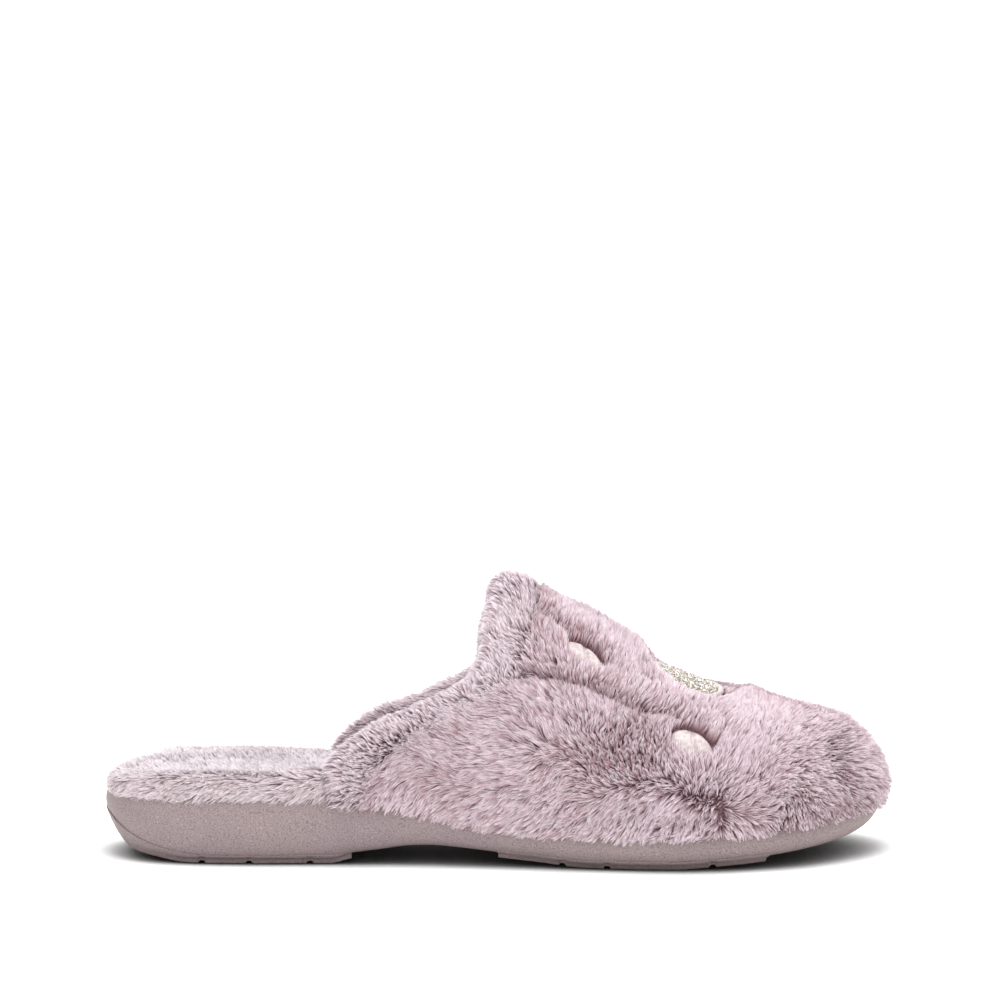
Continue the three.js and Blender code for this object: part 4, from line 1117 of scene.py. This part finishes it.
def lining_pile():
    rng = np.random.default_rng(15)
    v = V_V - V_N * 6.75
    surf = Surface(v, V_T[:, ::-1], dict(x=V_A["x"]), -V_N)
    x = V_A["x"][V_T].mean(1)
    keep = body.astype(float) * (0.15 + 0.85 * (1 - smooth(175, 215, x)))
    root, nrm, a = surf.sample(1.8 * THIN, rng, keep)
    n = len(root)
    one = np.ones(n)
    flow = turned(np.stack([one, 0 * one, -0.5 * one], -1), nrm, 0.9 * noise(root, 14, 111) + rng.normal(0, 0.3, n))
    pts, lock = strands(root, nrm, flow, 2.8 * (1 + rng.normal(0, 0.1, n)), np.radians(20) * one, np.radians(66) * one, rng, segments=2, curl=0.1, clumps=((0.06, 0.4),))
    tone = 0.5 + 0.16 * noise(root, 12, 112) + rng.normal(0, 0.1, n)
    pile("lining_pile", (pts, nrm, tone), rng.uniform(0.4, 0.6, n) / math.sqrt(THIN), rng, LINING_PILE, "lining")


vamp_pile()
collar_pile()
band_pile()
sock_pile()
lining_pile()


# ---- satin and glitter ------------------------------------------------------------------------------
def leaf_piece(c):
    place, _, _ = patch_frame(c)
    nr, na = 64, 320
    r = np.linspace(0.004, 1, nr)[:, None]
    th = (np.arange(na) / na * 2 * math.pi)[None]
    sh = 1 - 0.22 * np.cos(th) ** 2
    a, b = c["a"] * 0.98 * r * np.cos(th), c["b"] * 0.98 * r * np.sin(th) * sh
    # two facets meet in a valley on a slant; each is laid with its own slant of thread
    sgn = -c["side"]
    split = (a - 0.6) * math.cos(0.62) + b * sgn * math.sin(0.62)
    facet = split > 0
    t1 = a * math.sin(0.25) + b * sgn * math.cos(0.25)
    t2 = a * math.sin(1.05) + b * sgn * math.cos(1.05)
    pitch = 0.62
    ridge = np.where(facet, np.abs(np.sin(math.pi * t1 / pitch)), np.abs(np.sin(math.pi * t2 / pitch)))
    dome = 1.4 + 1.35 * (1 - r ** 3.2) ** 0.6 - 0.95 * np.exp(-(split / 0.8) ** 2) - 0.25 * facet
    d = dome + 0.17 * ridge ** 0.7 * (1 - np.exp(-(split / 0.4) ** 2)) * (1 - 0.6 * r ** 8)
    p, _ = place(a, b, d, c["turn"])
    low, _ = place(a[-1:], b[-1:], np.full((1, na), 1.2), c["turn"])
    v = np.concatenate([p.reshape(-1, 3), low.reshape(-1, 3), p[0].mean(0)[None], low.reshape(-1, 3).mean(0)[None]])
    q = grid_faces(nr + 1, na, wrap_v=True)
    j = np.arange(na)
    j2 = (j + 1) % na
    caps = np.concatenate([np.stack([np.full(na, len(v) - 2), j2, j], -1), np.stack([np.full(na, len(v) - 1), nr * na + j, nr * na + j2], -1)])
    ob = make(c["name"] + "_stitching", v, [q, caps], SATIN, clean=True)
    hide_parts(c["name"])


for c in LEAVES:
    leaf_piece(c)


def rounded(th, a, b, p=1.8):
    ct, st = np.cos(th), np.sin(th)
    return a * np.sign(ct) * np.abs(ct) ** (2 / p), b * np.sign(st) * np.abs(st) ** (2 / p)


def centre_patch():
    c = CENTRE_PATCH
    place, _, _ = patch_frame(c)
    rng = np.random.default_rng(21)
    nr, na = 30, 200
    th = (np.arange(na) / na * 2 * math.pi)[None]
    a0, b0 = rounded(th, c["a"], c["b"])
    r = np.linspace(0.004, 1, nr)[:, None]
    a, b = a0 * r, b0 * r
    d = 2.0 + 0.10 * noise(np.stack([a, b, a * 0], -1), 0.6, 5) + 0.15 * (1 - r ** 2)
    p, _ = place(a, b, d)
    low, _ = place(a[-1:], b[-1:], np.full((1, na), 1.2))
    v = np.concatenate([p.reshape(-1, 3), low.reshape(-1, 3), p[0].mean(0)[None], low.reshape(-1, 3).mean(0)[None]])
    q = grid_faces(nr + 1, na, wrap_v=True)
    j = np.arange(na)
    j2 = (j + 1) % na
    caps = np.concatenate([np.stack([np.full(na, len(v) - 2), j2, j], -1), np.stack([np.full(na, len(v) - 1), nr * na + j, nr * na + j2], -1)])
    uv = np.tile([0.42, 0.5], (len(v), 1)) + rng.uniform(-0.12, 0.12, (len(v), 2))
    film = make("glitter_applique_film", v, [q, caps], GLITTER, uv=uv)
    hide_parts("glitter_applique")
    flakes("glitter_applique_flakes", place, a0[0], b0[0], 2.2, 3400, rng)
    # satin stitch round it: threads lie across the border
    nt, nw = 1300, 12
    th = (np.arange(nt) / nt * 2 * math.pi)[:, None]
    w = np.linspace(0, 1, nw)[None]
    a0, b0 = rounded(th, c["a"], c["b"])
    l = np.hypot(a0, b0)
    grow = 0.3 + 2.0 * w
    a, b = a0 * (1 + grow / l), b0 * (1 + grow / l)
    arc = np.cumsum(np.hypot(np.diff(a0[:, 0], append=a0[0, 0]), np.diff(b0[:, 0], append=b0[0, 0])))
    thread = np.abs(np.sin(math.pi * arc / 0.64))[:, None] ** 0.7
    d = 1.5 + 1.15 * np.sin(math.pi * np.clip(w * 0.92 + 0.04, 0, 1)) ** 0.55 + 0.18 * thread
    p, _ = place(a, b, d)
    pin, _ = place(a[:, :1], b[:, :1], np.full((nt, 1), 1.2))
    pout, _ = place(a[:, -1:], b[:, -1:], np.full((nt, 1), 1.2))
    v = np.concatenate([pin, p, pout], 1)
    ob = make("applique_satin_stitching", v.reshape(-1, 3), grid_faces(nt, nw + 2, wrap_u=True, wrap_v=True), SATIN, clean=True)
    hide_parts("applique_satin_border")


def flakes(name, place, a0, b0, lift, count, rng):
    """Small hexagonal flakes at every tilt."""
    na = len(a0)
    k = rng.integers(0, na, count)
    r = np.sqrt(rng.random(count)) * 0.98
    a, b = a0[k] * r, b0[k] * r
    p, n = place(a, b, lift + rng.uniform(0, 0.22, count))
    t = unit(np.cross(n, rng.normal(size=(count, 3))))
    n = unit(n + 0.55 * rng.normal(size=(count, 3)))
    t = unit(t - n * (t * n).sum(1, keepdims=True))
    s = np.cross(n, t)
    size = rng.uniform(0.16, 0.34, count)
    ang = np.arange(6) / 6 * 2 * math.pi
    ring = p[:, None] + (t[:, None] * np.cos(ang)[None, :, None] + s[:, None] * np.sin(ang)[None, :, None]) * size[:, None, None]
    deep = ring - n[:, None] * 0.06
    v = np.concatenate([ring, deep], 1)
    base = (np.arange(count) * 12)[:, None]
    top = base + np.arange(6)[None]
    bot = base + 6 + np.arange(5, -1, -1)[None]
    i = np.arange(6)
    side = (base[:, None] + np.stack([i, i + 6, (i + 1) % 6 + 6, (i + 1) % 6], -1)[None]).reshape(-1, 4)
    u = rng.beta(1.4, 1.1, count)
    uv = np.repeat(np.clip(u, 0.03, 0.97)[:, None], 12, 1)
    uv = np.stack([uv + np.tile([0.004, -0.004], 6)[None], np.repeat(rng.random(count)[:, None], 12, 1) * 0.9 + np.tile(np.linspace(0, 0.02, 6), 2)[None]], -1)
    hexes = np.concatenate([top, bot])
    return make(name, v.reshape(-1, 3), [hexes, side], GLITTER, uv=uv.reshape(-1, 2), shade_smooth=False)


centre_patch()
for c in DOTS:
    place, _, _ = patch_frame(c)
    rng = np.random.default_rng(31 + (c["side"] > 0))
    th = np.arange(60) / 60 * 2 * math.pi
    ob = flakes(c["name"] + "_flakes", place, c["a"] * np.cos(th), c["b"] * np.sin(th), 3.0, 260, rng)
    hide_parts(c["name"])


# ---- what is hidden inside keeps its CAD shape, with its own material --------------------------------
def simple(name, a, b, scale, rough, bump=0.0002, kind="noise"):
    m = Nodes(name)
    w = m.place()
    if kind == "cells":
        tex = m.add("TexVoronoi", {"Vector": w, "Scale": scale}).outputs["Distance"]
    elif kind == "weave":
        wx = m.add("TexWave", {"Vector": w, "Scale": scale}, wave_type="BANDS", bands_direction="X").outputs["Fac"]
        wy = m.add("TexWave", {"Vector": w, "Scale": scale}, wave_type="BANDS", bands_direction="Z").outputs["Fac"]
        tex = m.math("MULTIPLY", wx, wy)
    else:
        tex = m.noise(w, scale, 5, 0.6)
    p = m.add("BsdfPrincipled", {"Base Color": m.ramp(tex, [(0.2, a), (0.8, b)]), "Roughness": rough, "Normal": m.bump(tex, 0.5, bump)})
    return m.surface(p.outputs[0])


FOAM = simple("open_cell_foam", (0.62, 0.56, 0.44), (0.84, 0.79, 0.68), 900, 0.95, 0.0003, "cells")
BOARD = simple("fibre_board", (0.34, 0.25, 0.15), (0.52, 0.42, 0.28), 500, 0.9)
TAPE = simple("woven_tape", (0.60, 0.58, 0.54), (0.88, 0.87, 0.84), 900, 0.85, 0.0001, "weave")
PUFF = simple("nonwoven_stiffener", (0.62, 0.62, 0.58), (0.84, 0.84, 0.80), 700, 0.8)
THREAD = simple("seam_thread", (0.34, 0.24, 0.27), (0.56, 0.44, 0.48), 3000, 0.7, 0.00005)
for node, mat in dict(insole_board=BOARD, footbed_foam=FOAM, vamp_foam=FOAM, embroidery_backing=TAPE, topline_tape=TAPE, toe_puff=PUFF, collar_seam_thread=THREAD, wrap_seam_thread=THREAD).items():
    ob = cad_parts[node]
    for slot in ob.material_slots:
        slot.material = mat

# ---- floor, light and camera ------------------------------------------------------------------------
floor_mesh = bpy.data.meshes.new("studio_floor")
floor_mesh.from_pydata([(-30, -30, 0), (30, -30, 0), (30, 30, 0), (-30, 30, 0)], [], [(0, 1, 2, 3)])
floor = bpy.data.objects.new("studio_floor", floor_mesh)
bpy.context.scene.collection.objects.link(floor)
m = Nodes("studio_floor")
# the sweep glows white away from the slipper, so only the contact shadow shows
away = m.add("VectorMath", {0: m.place()}, operation="LENGTH").outputs["Value"]
glow = m.ramp(m.math("MULTIPLY", away, 0.5), [(0.20, (0, 0, 0)), (0.55, (1, 1, 1))])
# right under the sole the floor's colour is darkened by ambient occlusion, a painted contact shadow, and where nothing
# is near it the floor glows white
tight = m.add("AmbientOcclusion", {"Distance": 0.022}, samples=4).outputs["AO"]
ground = m.ramp(tight, [(0.05, (0.07, 0.07, 0.07)), (0.65, (0.74, 0.74, 0.74))])
open_floor = m.ramp(tight, [(0.42, (0, 0, 0)), (0.90, (0.55, 0.55, 0.55))])
glow = m.mix(1.0, glow, open_floor, "LIGHTEN")
p = m.add("BsdfPrincipled", {"Base Color": ground, "Roughness": 0.95, "Specular IOR Level": 0.05, "Emission Color": glow, "Emission Strength": 0.9})
floor_mesh.materials.append(m.surface(p.outputs[0]))

world = bpy.data.worlds.new("studio")
bpy.context.scene.world = world
world.use_nodes = True
world.node_tree.nodes["Background"].inputs["Color"].default_value = (1.0, 1.0, 1.0, 1)
world.node_tree.nodes["Background"].inputs["Strength"].default_value = 1.0


def softbox(name, at, aim, size, power, colour=(1, 1, 1)):
    li = bpy.data.lights.new(name, "AREA")
    li.shape, li.size, li.size_y, li.energy, li.color = "RECTANGLE", size[0], size[1], power, colour
    ob = bpy.data.objects.new(name, li)
    bpy.context.scene.collection.objects.link(ob)
    ob.location = at
    ob.rotation_euler = (Vector(aim) - Vector(at)).to_track_quat("-Z", "Y").to_euler()


softbox("overhead", (0.10, -0.25, 1.5), (0, 0, 0), (1.0, 0.9), 19.5)
softbox("front_fill", (0.10, -1.5, 0.45), (0, 0, 0.03), (1.2, 0.7), 2.8)
softbox("rear_fill", (-0.3, 1.5, 0.7), (0, 0, 0.03), (1.2, 0.7), 4.5)

cam_data = bpy.data.cameras.new("camera")
cam = bpy.data.objects.new("camera", cam_data)
bpy.context.scene.collection.objects.link(cam)
DIST = 3.0
cam_data.sensor_width = 36.0
cam_data.lens = 36.0 * DIST / 0.337
cam_data.clip_end = 100.0
pitch = math.radians(7.0)
cam.location = (0.00125, -DIST * math.cos(ELEV), 0.04 + DIST * math.sin(ELEV))
cam.rotation_euler = (math.radians(90) - pitch, 0, 0)
bpy.context.scene.camera = cam
bpy.context.scene.view_settings.view_transform = "Standard"
bpy.context.scene.view_settings.look = "None"
